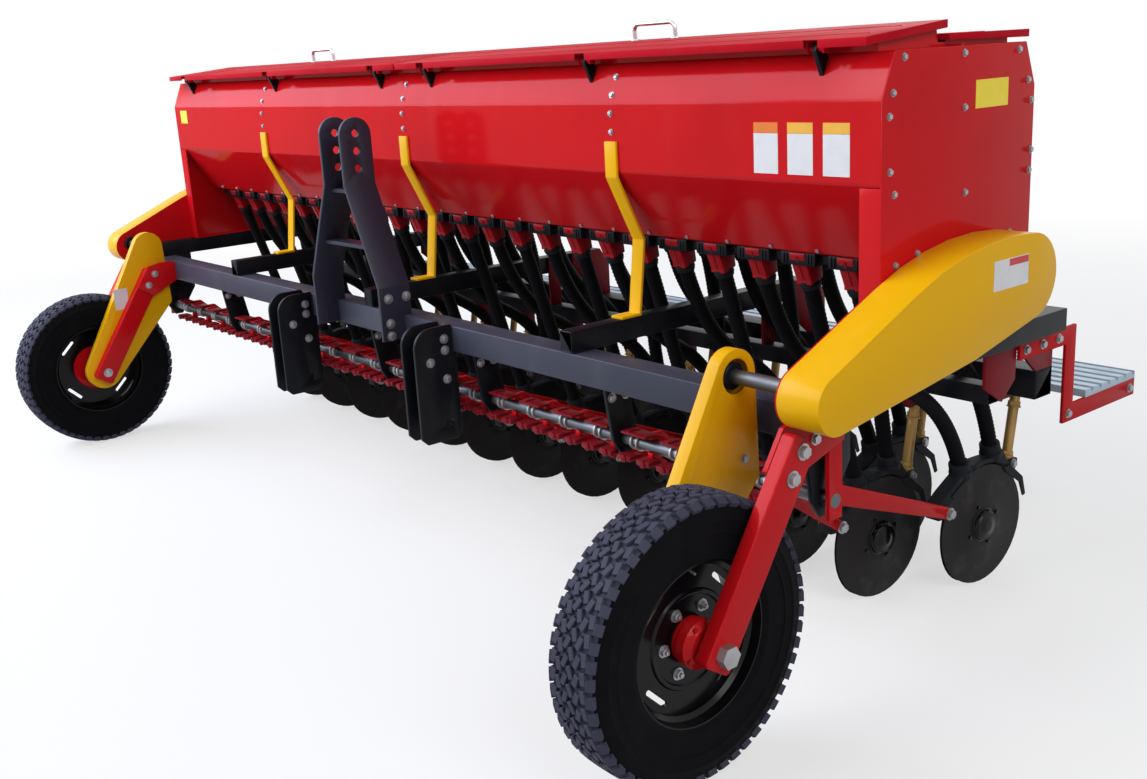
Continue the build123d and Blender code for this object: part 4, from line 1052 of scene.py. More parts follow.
    def clamp(self, radius: float) -> Mesh:
        """One row's clamp about the shaft: a strap with its pin, and two jaws with their bolts.

        Args:
            radius: Radius of the shaft.

        Returns:
            The clamp, its origin on the shaft's middle line.
        """
        form = Form()
        strap_z, pin_z = radius + 0.012, radius + 0.017
        form.block((-0.046, -0.040, strap_z), (0.050, 0.006, strap_z + 0.007), 0.002)
        form.rod((-0.019, -0.038, pin_z), (-0.019, 0.004, pin_z), 0.006, 10, 0.001)
        jaw_z, jaw_half, bolt_z = -radius - 0.014, 0.026, -radius - 0.022
        for x in (-0.037, 0.037):
            form.block((x - jaw_half, -0.042, jaw_z - 0.016), (x + jaw_half, 0.004, jaw_z), 0.004)
            form.rod((x, -0.046, bolt_z), (x, -0.038, bolt_z), 0.011, 12, 0.002)
        return form.template()

    def bright_rings(self, radius: float) -> Mesh:
        """One row's rings on the shaft, with sloping edges.

        Args:
            radius: Radius of the shaft.

        Returns:
            The rings, their origin on the shaft's middle line.
        """
        form = Form()
        foot, shoulder, crown = radius - 0.001, radius + 0.003, radius + 0.006
        half, crown_half = 0.004, 0.002
        section = [(-half, foot), (-half, shoulder), (-crown_half, crown), (crown_half, crown), (half, shoulder),
                   (half, foot)]
        for x in self.clamp_rings:
            form.turned(section, (x, 0, 0), (1, 0, 0), 24)
        return form.template()

    def tube_ends(self) -> None:
        """Closes the open ends of the rails and of the toolbar."""
        wall, depth = self.plug_wall, self.plug
        (_, front, foot), (_, rear, top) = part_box("inner_rails")
        (inner_x, inner_half), (side_x, side_half) = self.inner_rail, self.side_rail
        rails = ((-inner_x, inner_half), (0.0, inner_half), (inner_x, inner_half), (-side_x, side_half),
                 (side_x, side_half))
        form = Form()
        for x, half in rails:
            for y in (front, rear - depth):
                form.block((x - half + wall, y, foot + wall), (x + half - wall, y + depth, top - wall),
                           self.plug_bevel)
        (low_x, low_y, low_z), (high_x, high_y, high_z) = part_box("toolbar")
        for x in (low_x, high_x - depth):
            form.block((x, low_y + wall, low_z + wall), (x + depth, high_y - wall, high_z - wall), self.plug_bevel)
        form.done("tube_ends", "root", "frame_grey")


# ---- hopper
@dataclass
class Hopper:
    """The red hopper with its ends, bolts and blank plates.

    Attributes:
        skins: Skins over the CAD nodes.
        sheet: Thickness of its sheet.
        fold: Size of its round folds.
        section: Outer face of the front wall, from the top lip to the floor, in Y and Z.
        middle_y: Middle plane between its long walls.
        half: Half its length.
        bolt_xs: Columns of bolts on its long faces.
        bolt_rows: Rows of those bolts: the stretch of the section and the share along it.
        foot_row: The row of small bolts along the slope's foot, likewise.
        end_bolts: Bolts of each end panel, in Y and Z.
        bolt_size: Radius of the bolts' heads.
        foot_bolt_size: Radius of the small bolts' heads.
        rim: Upright rim of the mouth along each end, from the front to the rear, in Y and Z.
        rim_end_x: Outer face of that rim.
        rim_sheet: Thickness of the rim.
        rim_bevel: Width of the rounded edges of its long sides.
        plate_xs: Left edges of the three blank plates on the band, with their headers' finishes.
        plate_width: Width of those plates.
        plate_z: Foot and top of those plates.
        header_z: Foot and top of their headers.
        band_mark: X and Z of the yellow plate on the band, from edge to edge.
        end_mark: Y and Z of the yellow plate on the end panel, from edge to edge.
        plate_out: How far a plate stands out.
        plate_sink: How far it is sunk into the sheet.
    """

    skins: Skins
    sheet: float = 0.004
    fold: float = 0.007
    section: Points = (
        (-0.140, 1.501), (-0.166, 1.501), (-0.208, 1.400), (-0.208, 1.220), (-0.076, 1.027), (0.000, 1.027))
    middle_y: float = 0.0875
    half: float = 1.926
    bolt_xs: tuple[float, ...] = (-1.050, 0.0, 1.050)
    bolt_rows: tuple[tuple[int, float], ...] = (
        (1, 0.35), (1, 0.80), (2, 0.15), (2, 0.42), (2, 0.68), (2, 0.92))
    foot_row: tuple[int, float] = (3, 0.94)
    end_bolts: Points = (
        (-0.134, 1.486), (0.088, 1.485), (0.310, 1.484), (-0.172, 1.413), (-0.184, 1.364), (-0.180, 1.246),
        (-0.164, 1.196), (-0.156, 1.038), (0.094, 1.365), (0.103, 1.172), (-0.076, 1.054), (0.296, 1.054),
        (0.353, 1.412), (0.369, 1.364), (0.375, 1.246), (0.370, 1.197))
    bolt_size: float = 0.0065
    foot_bolt_size: float = 0.006
    rim: Points = (
        (-0.160, 1.4975), (-0.160, 1.520), (0.050, 1.538), (0.056, 1.511), (0.084, 1.511), (0.090, 1.520),
        (0.335, 1.520), (0.335, 1.4975))
    rim_end_x: float = 1.882
    rim_sheet: float = 0.002
    rim_bevel: float = 0.0005
    plate_xs: tuple[tuple[float, Finish], ...] = (
        (1.562, Finish.ORANGE), (1.666, Finish.AMBER), (1.770, Finish.AMBER))
    plate_width: float = 0.075
    plate_z: Pair = (1.235, 1.328)
    header_z: Pair = (1.3285, 1.353)
    band_mark: tuple[Pair, Pair] = ((-1.870, -1.800), (1.330, 1.385))
    end_mark: tuple[Pair, Pair] = ((0.136, 0.268), (1.359, 1.423))
    plate_out: float = 0.0012
    plate_sink: float = 0.0002

    def build(self) -> None:
        """Builds the hopper's pieces."""
        self.walls()
        self.mouth()
        for side, _ in SIDES:
            self.skins.dress(f"hopper_end_{side}", 0.0012)
        self.skins.dress("hopper_partition", 0.0012, 1)
        self.bolts()
        self.plates()

    def walls(self) -> None:
        """Builds the two folded walls, the rear one the mirror image of the front one."""
        rear = [(2 * self.middle_y - y, z) for y, z in self.section]
        for rank, section, thick in (("front", self.section, -self.sheet), ("rear", rear, self.sheet)):
            form = Form()
            form.folded(section, -self.half, self.half, thick, self.fold)
            form.done(f"hopper_{rank}_wall", "root", "hopper_red", replaces=[f"hopper_{rank}"])

    def mouth(self) -> None:
        """Adds the upright rim round the hopper's mouth, under the lids."""
        thick = self.rim_sheet
        form = Form()
        for side in (-1, 1):
            form.sheet([(side * self.rim_end_x, y, z) for y, z in self.rim], (-side * thick, 0, 0))
        (front, foot), (rear, top) = self.rim[0], self.rim[-2]
        inside = self.rim_end_x - thick
        for y in (front, rear - thick):
            form.block((-inside, y, foot), (inside, y + thick, top), self.rim_bevel, 1)
        form.done("hopper_mouth_rim", "root", "hopper_red")

    def bolt_row(self, form: Form, row: tuple[int, float], xs: Iterable[float], size: float, washer: bool) -> None:
        """Adds a row of bolts to the front wall and its mirror image to the rear wall.

        Args:
            form: The form that takes the bolts.
            row: A straight stretch of the section and the share along it.
            xs: Places of the bolts.
            size: Radius of their heads.
            washer: Whether they have washers.
        """
        stretch, share = row
        (y0, z0), (y1, z1) = self.section[stretch], self.section[stretch + 1]
        y, z = y0 + (y1 - y0) * share, z0 + (z1 - z0) * share
        out = Vector((0, z1 - z0, -(y1 - y0))).normalized()
        for x in xs:
            form.bolt((x, y, z), out, size, washer)
            form.bolt((x, 2 * self.middle_y - y, z), (0, -out.y, out.z), size, washer)

    def bolts(self) -> None:
        """Adds the bolts of the partitions, the ends and the slope's foot."""
        form = Form()
        for row in self.bolt_rows:
            self.bolt_row(form, row, self.bolt_xs, self.bolt_size, True)
        between_rows = [(row - Rows.COUNT / 2) * Rows.PITCH for row in range(Rows.COUNT + 1)]
        self.bolt_row(form, self.foot_row, between_rows, self.foot_bolt_size, False)
        _, (end_x, _, _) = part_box("hopper_end_right")
        for _, side in SIDES:
            for y, z in self.end_bolts:
                form.bolt((side * end_x, y, z), (side, 0, 0), self.bolt_size)
        form.done("hopper_bolts", "root", "rod_zinc", Finish.BOLT)

    def plates(self) -> None:
        """Adds the blank plates with their coloured headers."""
        band_y, _ = self.section[2]
        near, far = band_y - self.plate_out, band_y + self.plate_sink
        white, yellow = Form(), Form()
        headers = {Finish.AMBER: Form(), Finish.ORANGE: Form()}
        for x, finish in self.plate_xs:
            for form, (foot, top) in ((white, self.plate_z), (headers[finish], self.header_z)):
                form.plate((x, near, foot), (x + self.plate_width, far, top))
        (left, right), (foot, top) = self.band_mark
        yellow.plate((left, near, foot), (right, far, top))
        _, (end_x, _, _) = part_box("hopper_end_right")
        (front, rear), (foot, top) = self.end_mark
        yellow.plate((end_x - self.plate_sink, front, foot), (end_x + self.plate_out, rear, top))
        for name, form, finish in (
            ("blank_plates_white", white, Finish.WHITE),
            ("blank_plates_headers", headers[Finish.AMBER], Finish.AMBER),
            ("blank_plate_orange_header", headers[Finish.ORANGE], Finish.ORANGE),
            ("blank_plates_yellow", yellow, Finish.PLATE_YELLOW),
        ):
            form.done(name, "root", "hopper_red", finish)


@dataclass
class Lids:
    """The four lids with their swages and handles.

    Attributes:
        skins: Skins over the CAD nodes.
        swage: Radius of the pressed swages.
        swage_rows: Where they run, as shares of the way from the lip to the ridge.
        swage_inset: Distance of their ends from the lid's ends.
        swage_sink: How far their middles lie under the lid's top.
        front_rise: Rise of the front lids from the lip to the ridge.
        foot: Radius of the washer under each end of a handle.
        foot_inset: Distance of its middle from the handle's end.
    """

    skins: Skins
    swage: float = 0.006
    swage_rows: tuple[float, ...] = (0.30, 0.70)
    swage_inset: float = 0.060
    swage_sink: float = 0.0045
    front_rise: float = 0.028
    foot: float = 0.014
    foot_inset: float = 0.006

    def build(self) -> None:
        """Builds the lids' pieces."""
        for rank in ("front", "rear"):
            for side, _ in SIDES:
                self.skins.dress(f"lid_{rank}_{side}", 0.0012)
                self.swages(rank, side)
        for side, _ in SIDES:
            self.skins.paint(f"lid_handle_{side}")
            self.feet(side)
        self.skins.dress("lid_hinges", 0.0015)

    def swages(self, rank: str, side: str) -> None:
        """Adds the swages that stiffen a lid.

        Args:
            rank: "front" or "rear".
            side: "left" or "right".
        """
        low, high = corners(f"lid_{rank}_{side}")
        lip, ridge, rise = (low.y, high.y, self.front_rise) if rank == "front" else (high.y, low.y, 0.0)
        form = Form()
        for share in self.swage_rows:
            y = lip + (ridge - lip) * share
            z = high.z - rise + rise * share - self.swage_sink
            form.rod((low.x + self.swage_inset, y, z), (high.x - self.swage_inset, y, z), self.swage, 12)
        form.done(f"lid_swages_{rank}_{side}", f"lid_{rank}_{side}", "lid_red")

    def feet(self, side: str) -> None:
        """Adds a washer foot under each end of a handle.

        Args:
            side: "left" or "right".
        """
        low, high = corners(f"lid_handle_{side}")
        # the foot lies on the sloping lid, so it leans a little
        foot_y, foot_z, top_y, top_z = high.y - 0.006, low.z - 0.0005, high.y - 0.0065, low.z + 0.004
        form = Form()
        for x in (low.x + self.foot_inset, high.x - self.foot_inset):
            form.rod((x, foot_y, foot_z), (x, top_y, top_z), self.foot, 20, 0.001)
        form.done(f"handle_feet_{side}", f"lid_front_{side}", "handle_chrome")


# ---- wheels
@dataclass
class Wheel:
    """A ground wheel.

    Attributes:
        side: "left" or "right".
        sign: The way out of the machine along X, 1 or -1.
        radius: Radius over the tread.
        half_width: Half the tyre's width.
        bead: Radius of the bead.
        steps: Steps round the tyre and the rim.
        smooth: Greatest angle in degrees that is shaded smooth on a tyre.
        blocks: Tread blocks round each row.
        tread_depth: Height of the blocks.
        block_rows: Middle, width, lean in degrees, drop and turn of each row's blocks on the right-hand half.
        shoulder_row: Middle, width, height, lean in degrees, drop and turn of the blocks on the shoulder.
        block_bevel: Width of the blocks' rounded edges.
        block_height: Height of a block's whole body, as a share of the tread's.
        block_length: Length of a block, as a share of the step.
        shoulder_length: Length of a block on the shoulder, likewise.
        belt: Thickness of the belt under the blocks.
        belt_rise: How far it stands over the carcass.
        rim_half: Half the rim's width.
        well: Radius of the rim's sunk middle.
        disc_x: Inner and outer face of the wheel disc from the wheel's middle plane.
        slots: Long slots round the disc.
        slot_r: Radius at which the slots lie.
        slot_half: Half a slot's length and width.
        hub_r: Radius of the hub.
        nut_r: Radius at which the wheel nuts lie.
        nut: Radius of a nut.
        stud: Radius of the stud in it.
    """

    side: str
    sign: int
    radius: float = 0.322
    half_width: float = 0.073
    bead: float = 0.186
    steps: int = 96
    smooth: float = 28.0
    blocks: int = 52
    tread_depth: float = 0.009
    block_rows: tuple[tuple[float, ...], ...] = (
        (0.0085, 0.0135, 24, 0.0, 0.0), (0.0265, 0.0150, -20, 0.0004, 0.30), (0.0455, 0.0160, 12, 0.0022, 0.05))
    shoulder_row: tuple[float, ...] = (0.0605, 0.019, 0.012, 38, 0.0125, 0.30)
    block_bevel: float = 0.0012
    block_height: float = 1.2
    block_length: float = 0.70
    shoulder_length: float = 0.60
    belt: float = 0.004
    belt_rise: float = 0.0006
    rim_half: float = 0.058
    well: float = 0.172
    disc_x: Pair = (0.014, 0.020)
    slots: int = 4
    slot_r: float = 0.143
    slot_half: Pair = (0.036, 0.006)
    hub_r: float = 0.052
    nut_r: float = 0.077
    nut: float = 0.0105
    stud: float = 0.0055

    def build(self) -> None:
        """Builds the wheel's pieces."""
        self.tyre()
        self.rim()
        self.hub()

    @property
    def body(self) -> str:
        """The CAD body that turns."""
        return f"wheel_{self.side}"

    @property
    def middle(self) -> Vector:
        """The wheel's middle, on its axle."""
        return middle_of(f"tyre_{self.side}")

    def tyre(self) -> None:
        """Builds a tyre: its black carcass with ribbed walls, and the tread, lighter and bluish with painted sheen.
        """
        side, body, middle = self.side, self.body, self.middle
        base, wide, bead = self.radius - self.tread_depth, self.half_width, self.bead
        crown = [(0.0, base), (0.030, base - 0.0006), (0.052, base - 0.003), (0.061, base - 0.008)]
        shoulder = [(0.066, base - 0.018), (0.0700, base - 0.030), (wide - 0.0012, base - 0.036)]
        upper_rib = [(wide, base - 0.038), (wide, base - 0.043), (wide - 0.0014, base - 0.045)]
        lower_rib = [(wide - 0.002, base - 0.062), (wide - 0.001, base - 0.064), (wide - 0.0012, base - 0.067),
                     (wide - 0.0035, base - 0.069)]
        foot = [(0.0670, base - 0.092), (0.0655, bead + 0.014), (0.0640, bead + 0.012), (0.0615, bead + 0.004),
                (0.0585, bead)]
        inside = [(0.050, bead), (0.050, bead + 0.020), (0.056, base - 0.070), (0.052, base - 0.030),
                  (0.0, base - 0.014)]
        half = crown + shoulder + upper_rib + lower_rib + foot + inside
        carcass = Form()
        carcass.turned(half + [(-x, r) for x, r in reversed(half) if x > 0], middle, (1, 0, 0), self.steps)
        carcass.done(f"tyre_carcass_{side}", body, "tyre_rubber", Finish.WALL, [f"tyre_{side}"], self.smooth)
        over = [(x, r + self.belt_rise) for x, r in crown]
        over = [(-x, r) for x, r in reversed(over[1:])] + over
        tread = Form()
        tread.turned(over + [(x, r - self.belt) for x, r in reversed(over)], middle, (1, 0, 0), self.steps)
        tread.stamp(self.tread_blocks(), [
            Matrix.Translation(middle) @ Matrix.Rotation(k * math.tau / self.blocks, 4, "X")
            for k in range(self.blocks)])
        # the tread's lighter, bluish rubber is painted sheen
        tread.done(f"tyre_tread_{side}", body, "tyre_rubber", Finish.TYRE, smooth=self.smooth)

    def tread_blocks(self) -> Mesh:
        """One step of the tread: a block on each row, leaning in turns.

        Returns:
            The step's blocks at the top of the tyre.
        """
        step = math.tau / self.blocks
        pitch = step * self.radius
        high = self.tread_depth * self.block_height
        places = []
        for x, width, lean, drop, shift in self.block_rows:
            for side, half_step in ((1, 0.0), (-1, 0.5)):
                places.append(Matrix.Rotation((shift + half_step) * step, 4, "X")
                              @ Matrix.Translation((side * x, 0, self.radius - drop - high / 2))
                              @ Matrix.Rotation(math.radians(side * lean), 4, "Z")
                              @ Matrix.Diagonal((width, pitch * self.block_length, high, 1.0)))
        x, width, height, lean, drop, shift = self.shoulder_row
        for side, half_step in ((-1, 0.5), (1, 0.0)):
            places.append(Matrix.Rotation((shift + half_step) * step, 4, "X")
                          @ Matrix.Translation((side * x, 0, self.radius - drop))
                          @ Matrix.Rotation(math.radians(side * lean), 4, "Y")
                          @ Matrix.Diagonal((width, pitch * self.shoulder_length, height, 1.0)))
        form = Form()
        for place in places:
            verts = bmesh.ops.create_cube(form.bm, size=1.0, matrix=place)["verts"]
            form.soften(sorted(verts, key=lambda vert: vert.co.z)[-4:], self.block_bevel, 1)
        return form.template()

    def rim(self) -> None:
        """Builds a pressed steel rim with its slotted disc."""
        middle, sign = self.middle, self.sign
        lip, bead, well, (low, high) = self.rim_half, self.bead, self.well, self.disc_x
        # one half, from the well out over the bead's seat and back underneath
        half = [(0.026, well), (0.034, bead - 0.004), (lip - 0.006, bead - 0.001), (lip - 0.004, bead + 0.009),
                (lip, bead + 0.008), (lip, bead - 0.004), (0.036, bead - 0.009), (0.028, well - 0.005)]
        form = Form()
        form.turned(half + [(-x, r) for x, r in reversed(half)], middle, (1, 0, 0), self.steps)
        plane = Matrix.Translation(middle + Vector((sign * low, 0, 0)))
        loops = [form.ring(plane, well - 0.002, 64), form.ring(plane, self.hub_r, 40)]
        loops += [self.slot(form, plane @ Matrix.Rotation((k + 0.5) * math.tau / self.slots, 4, "X"))
                  for k in range(self.slots)]
        form.pierced(loops, (sign * (high - low), 0, 0), 0.0015)
        foot, crown = high - 0.002, high + 0.004
        swage = [(foot, 0.098), (crown, 0.103), (crown + 0.001, 0.107), (crown, 0.111), (foot, 0.116)]
        form.turned([(sign * x, r) for x, r in swage], middle, (1, 0, 0), 64)
        form.done(f"rim_pressed_{self.side}", self.body, "rim_black", Finish.GLOSS_BLACK, [f"rim_{self.side}"])

    def slot(self, form: Form, turn: Matrix) -> list:
        """Draws out a ring into the outline of one long slot of the disc.

        Args:
            form: The form that takes it.
            turn: The disc's plane, turned to the slot.

        Returns:
            The outline's vertices.
        """
        spot = turn @ Matrix.Translation((0, self.slot_r, 0))
        half_length, half_width = self.slot_half
        sides = 20
        loop = form.ring(spot @ Matrix.Rotation(math.pi / sides, 4, "X"), half_width, sides)
        along = (turn.to_3x3() @ Vector((0, 0, 1))).normalized()
        for vert in loop:
            way = 1 if (vert.co - spot.translation).dot(along) > 0 else -1
            vert.co += along * way * (half_length - half_width)
        return loop

    def hub(self) -> None:
        """Builds a red hub with its flange, cap and wheel nuts."""
        middle, sign, out = self.middle, self.sign, Vector((self.sign, 0, 0))
        face, low, bore, barrel = self.disc_x[0], -0.070, 0.0182, 0.0515
        boss = [(low, bore), (low, barrel - 0.0045), (low + 0.004, barrel)]
        flange = [(face - 0.012, barrel), (face - 0.012, 0.091), (face - 0.009, 0.094), (face - 0.003, 0.094),
                  (face, 0.091), (face, barrel)]
        cap = [(0.030, barrel), (0.034, 0.0555), (0.056, 0.0555), (0.060, 0.050), (0.064, 0.047), (0.070, 0.042),
               (0.070, bore)]
        form = Form()
        form.turned([(sign * x, r) for x, r in boss + flange + cap], middle, (1, 0, 0), 48)
        for seat in self.round_spots(4, 0.046, 0.5):
            form.rod(seat + out * 0.052, seat + out * 0.066, 0.0075, 6, 0.001)
        form.done(f"hub_cast_{self.side}", self.body, "frame_red", replaces=[f"hub_{self.side}"])
        nuts = Form()
        for spot in self.round_spots(6, self.nut_r):
            nuts.bolt(spot + out * self.disc_x[1], out, self.nut)
            nuts.rod(spot + out * 0.024, spot + out * 0.036, self.stud, 12, 0.001)
        valve = middle + Vector((sign * 0.014, 0.0, self.well - 0.010))
        nuts.rod(valve, valve + Vector((sign * 0.030, 0, -0.006)), 0.003, 10, 0.0005)
        nuts.done(f"wheel_nuts_{self.side}", self.body, "rod_zinc", Finish.BOLT)

    def round_spots(self, count: int, radius: float, start: float = 0.0) -> list[Vector]:
        """Points evenly spaced round the axle, from an angle in radians."""
        return [self.middle + Matrix.Rotation(k * math.tau / count + start, 3, "X") @ Vector((0, radius, 0))
                for k in range(count)]


# ---- legs and drive
@dataclass
class Drive:
    """Wheel legs, chain cases, guards and shafts.

    Attributes:
        skins: Skins over the CAD nodes.
        leg_bolts: Bolts through each leg's top, in Y and Z.
        plate_bolts: Bolts of the inner leg's plate, in Y and Z.
        end_plate_x: Outer face of the plate on the beam's end.
        end_plate_bolts: Its bolts, in Y and Z.
        case_bolts: Bolts of the chain case's outer face, in Y and Z.
        sizes: Radius of the heads of the leg's, the plates' and the case's bolts.
        collar_in: Distance of the inner collar from the chain case's outer face.
        collar_x: Inner face of the outer collar.
        plate_out: How far a blank plate stands out.
        plate_sink: How far it is sunk into the sheet.
        guard_plate: Y and Z of the blank plate on the guard, from edge to edge.
        guard_header: Y and Z of its header.
        case_plate: Y and Z of the blank plate on the far chain case.
    """

    skins: Skins
    leg_bolts: Points = ((-0.509, 0.700), (-0.543, 0.648))
    plate_bolts: Points = ((-0.500, 0.714), (-0.533, 0.669))
    end_plate_x: float = 1.925
    end_plate_bolts: Points = ((-0.425, 0.700), (-0.360, 0.730))
    case_bolts: Points = ((-0.472, 0.630), (-0.560, 0.470))
    sizes: tuple[float, float, float] = (0.014, 0.011, 0.008)
    collar_in: float = 0.022
    collar_x: float = 1.9095
    plate_out: float = 0.0012
    plate_sink: float = 0.0002
    guard_plate: tuple[Pair, Pair] = ((0.051, 0.192), (0.957, 1.027))
    guard_header: tuple[Pair, Pair] = ((0.112, 0.190), (1.009, 1.025))
    case_plate: tuple[Pair, Pair] = ((-0.672, -0.612), (0.575, 0.665))

    def build(self) -> None:
        """Builds the pieces of both sides."""
        for side, sign in SIDES:
            self.skins.dress(f"legs_{side}", 0.004, 3)
            self.skins.dress(f"leg_plates_{side}", 0.0015)
            self.skins.dress(f"chain_case_{side}", 0.0018)
            self.skins.dress(f"drive_guard_{side}", 0.0018)
            self.skins.dress(f"guard_back_{side}", 0.001, 1)
            self.skins.paint(f"axle_{side}", Finish.BOLT)
            self.skins.paint(f"cross_shaft_{side}")
            self.bolts(side, sign)
            self.collars(side, sign)
        self.blank_plates()

    def bolts(self, side: str, sign: int) -> None:
        """Adds the bolts of a leg and its plates.

        Args:
            side: "left" or "right".
            sign: The way out of the machine along X.
        """
        (inner, _, _), (outer, _, _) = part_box("legs_right")
        (plate_face, _, _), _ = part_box("leg_plates_right")
        _, (case_face, _, _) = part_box("chain_case_right")
        axle = middle_of(f"axle_{side}")
        large, medium, small = self.sizes
        form = Form()
        # columns: face, way out, bolts in Y and Z, radius of a head
        for face, way, places, size in (
            (inner, -sign, ((axle.y, axle.z),), large), (plate_face, -sign, self.plate_bolts, medium),
            (outer, sign, self.leg_bolts, large), (self.end_plate_x, sign, self.end_plate_bolts, medium),
            (case_face, sign, self.case_bolts, small),
        ):
            for y, z in places:
                form.bolt((sign * face, y, z), (way, 0, 0), size)
        form.done(f"drive_bolts_{side}", "root", "rod_zinc", Finish.BOLT)

    def collars(self, side: str, sign: int) -> None:
        """Adds the dark collars of the cross shaft inside the chain case and at the guard.

        Args:
            side: "left" or "right".
            sign: The way out of the machine along X.
        """
        low, high = corners(f"cross_shaft_{side}")
        middle = (low + high) / 2
        radius = (high.z - low.z) / 2
        _, (case_face, _, _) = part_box("chain_case_right")
        length, height, chamfer = 0.018, 0.014, 0.003
        section = [(0.0, radius), (0.0, radius + height - chamfer), (chamfer, radius + height),
                   (length - chamfer, radius + height), (length, radius + height - chamfer), (length, radius)]
        form = Form()
        for x in (case_face - self.collar_in, self.collar_x):
            form.turned([(sign * place, r) for place, r in section], (sign * x, middle.y, middle.z), (1, 0, 0), 32)
        form.done(f"shaft_collars_{side}", "root", "hinge_black")

    def blank_plates(self) -> None:
        """Adds the blank plates on the guard and on the far chain case."""
        _, (guard_face, _, _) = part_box("drive_guard_right")
        _, (case_face, _, _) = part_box("chain_case_left")
        # columns: piece, face, edges in Y and Z, how far it stands out, width of the broken edges, finish
        for name, face, ((front, rear), (foot, top)), out, edge, finish in (
            ("blank_plate_guard", guard_face, self.guard_plate, self.plate_out, 0.0004, Finish.WHITE),
            ("blank_plate_guard_header", guard_face + self.plate_out, self.guard_header, 0.0006, 0.0002,
             Finish.HEADER_RED),
            ("blank_plate_case", case_face, self.case_plate, self.plate_out, 0.0004, Finish.WHITE),
        ):
            form = Form()
            form.plate((face - self.plate_sink, front, foot), (face + out, rear, top), edge)
            form.done(name, "root", "guard_yellow", finish)


# ---- metering
@dataclass
class Metering:
    """The seed and fertiliser meters under the hopper.

    Attributes:
        case_half: Half a housing's width.
        case_bevel: Width of its rounded edges.
        ribs: Places of the ribs across a housing.
        rib_half: Half a rib's width.
        cover: Radius of the round cover at each end of a housing.
        spout_half: Half a spout's width.
        mouth_half: Half the depth of a spout's mouth.
        floor_z: Underside of the hopper's floor.
        case_foot_z: Foot of the housings.
        depth: Half a housing's depth.
        shaft_half: Half the width of the square shaft that links the housings.
        ranks: Each rank's node, middle, outlet in Y and Z, and lean in degrees.
    """

    case_half: float = 0.056
    case_bevel: float = 0.004
    ribs: tuple[float, ...] = (-0.044, -0.034, 0.034, 0.044)
    rib_half: float = 0.002
    cover: float = 0.0155
    spout_half: float = 0.025
    mouth_half: float = 0.025
    floor_z: float = 1.027
    case_foot_z: float = 0.993
    depth: float = 0.033
    shaft_half: float = 0.011
    ranks: tuple[tuple[str, float, Pair, float], ...] = (
        ("front_meters", -0.038, (-0.024, 0.947), 18.0), ("rear_meters", 0.213, (0.213, 0.947), 15.0))

    def build(self) -> None:
        """Builds the housings and the spouts of both ranks."""
        places = [Matrix.Translation((x, 0, 0)) for x in Rows.xs()]
        half = self.shaft_half
        for node, middle_y, outlet, lean in self.ranks:
            (low_x, _, _), (high_x, _, _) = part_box(node)
            cases, spouts, collars = Form(), Form(), Form()
            cases.stamp(self.case(middle_y), places)
            cases.block((low_x, middle_y - half, self.shaft_z - half),
                        (high_x, middle_y + half, self.shaft_z + half), 0.001)
            cases.done(f"{node}_housings", "root", "cast_black", Finish.BLACK, [node])
            spouts.stamp(self.spout(middle_y, outlet, lean), places)
            spouts.done(f"{node}_spouts", "root", "meter_red")
            collars.stamp(self.collar(outlet, lean), places)
            collars.done(f"{node}_collars", "root", "cast_black")

    @property
    def shaft_z(self) -> float:
        """Height of the shaft, in the middle of the housings."""
        return (self.floor_z + self.case_foot_z) / 2

    def case(self, middle_y: float) -> Mesh:
        """One black housing with its ribs and its round end covers.

        Args:
            middle_y: Its middle.

        Returns:
            The housing of a row at X zero.
        """
        front, rear, foot = middle_y - self.depth, middle_y + self.depth, self.case_foot_z
        form = Form()
        form.block((-self.case_half, front, foot), (self.case_half, rear, self.floor_z - 0.0002), self.case_bevel)
        for x in self.ribs:
            form.block((x - self.rib_half, front - 0.0025, foot + 0.004),
                       (x + self.rib_half, front + 0.002, self.floor_z - 0.005), 0.0008)
        for side in (-1, 1):
            end = self.case_half
            form.rod((side * (end - 0.001), middle_y, self.shaft_z), (side * (end + 0.005), middle_y, self.shaft_z),
                     self.cover, 20, 0.001)
        return form.template()

    def spout(self, middle_y: float, outlet: Pair, lean: float) -> Mesh:
        """One red spout with its front rib.

        Args:
            middle_y: Middle of the housing over it.
            outlet: Middle of its mouth, in Y and Z.
            lean: Lean of the hose there, in degrees.

        Returns:
            The spout of a row at X zero.
        """
        turn = math.radians(lean)
        across = Vector((0, math.cos(turn), math.sin(turn))) * self.mouth_half
        mouth = Vector((0, *outlet))
        near, far = mouth - across, mouth + across
        front, rear, top = middle_y - self.depth - 0.004, middle_y + self.depth, self.floor_z - 0.002
        side = ((front, top), (front, top - 0.010), (near.y, near.z + 0.012), (near.y, near.z), (far.y, far.z),
                (rear, self.case_foot_z - 0.004), (rear, top))
        rib = ((front - 0.003, top - 0.008), (near.y - 0.003, near.z + 0.014), (near.y + 0.006, near.z + 0.012),
               (front + 0.004, top - 0.010))
        form = Form()
        # columns: half width, outline in Y and Z, width and segments of the rounding
        for half, outline, bevel, segments in ((self.spout_half, side, 0.004, 2), (0.0025, rib, 0.001, 1)):
            form.sheet([(-half, y, z) for y, z in outline], (2 * half, 0, 0), bevel, segments)
        return form.template()

    def collar(self, outlet: Pair, lean: float) -> Mesh:
        """The black collar of one hose at its spout, with its band.

        Args:
            outlet: Middle of the spout's mouth, in Y and Z.
            lean: Lean of the hose there, in degrees.

        Returns:
            The collar of a row at X zero.
        """
        turn = math.radians(lean)
        drop = Vector((0, math.sin(turn), -math.cos(turn)))
        start = Vector((0, *outlet))
        form = Form()
        # columns: start and end along the hose, radius, chamfer
        for near, far, radius, chamfer in ((-0.006, 0.018, 0.0258, 0.002), (0.004, 0.010, 0.0278, 0.001)):
            form.rod(start + drop * near, start + drop * far, radius, 20, chamfer)
        return form.template()


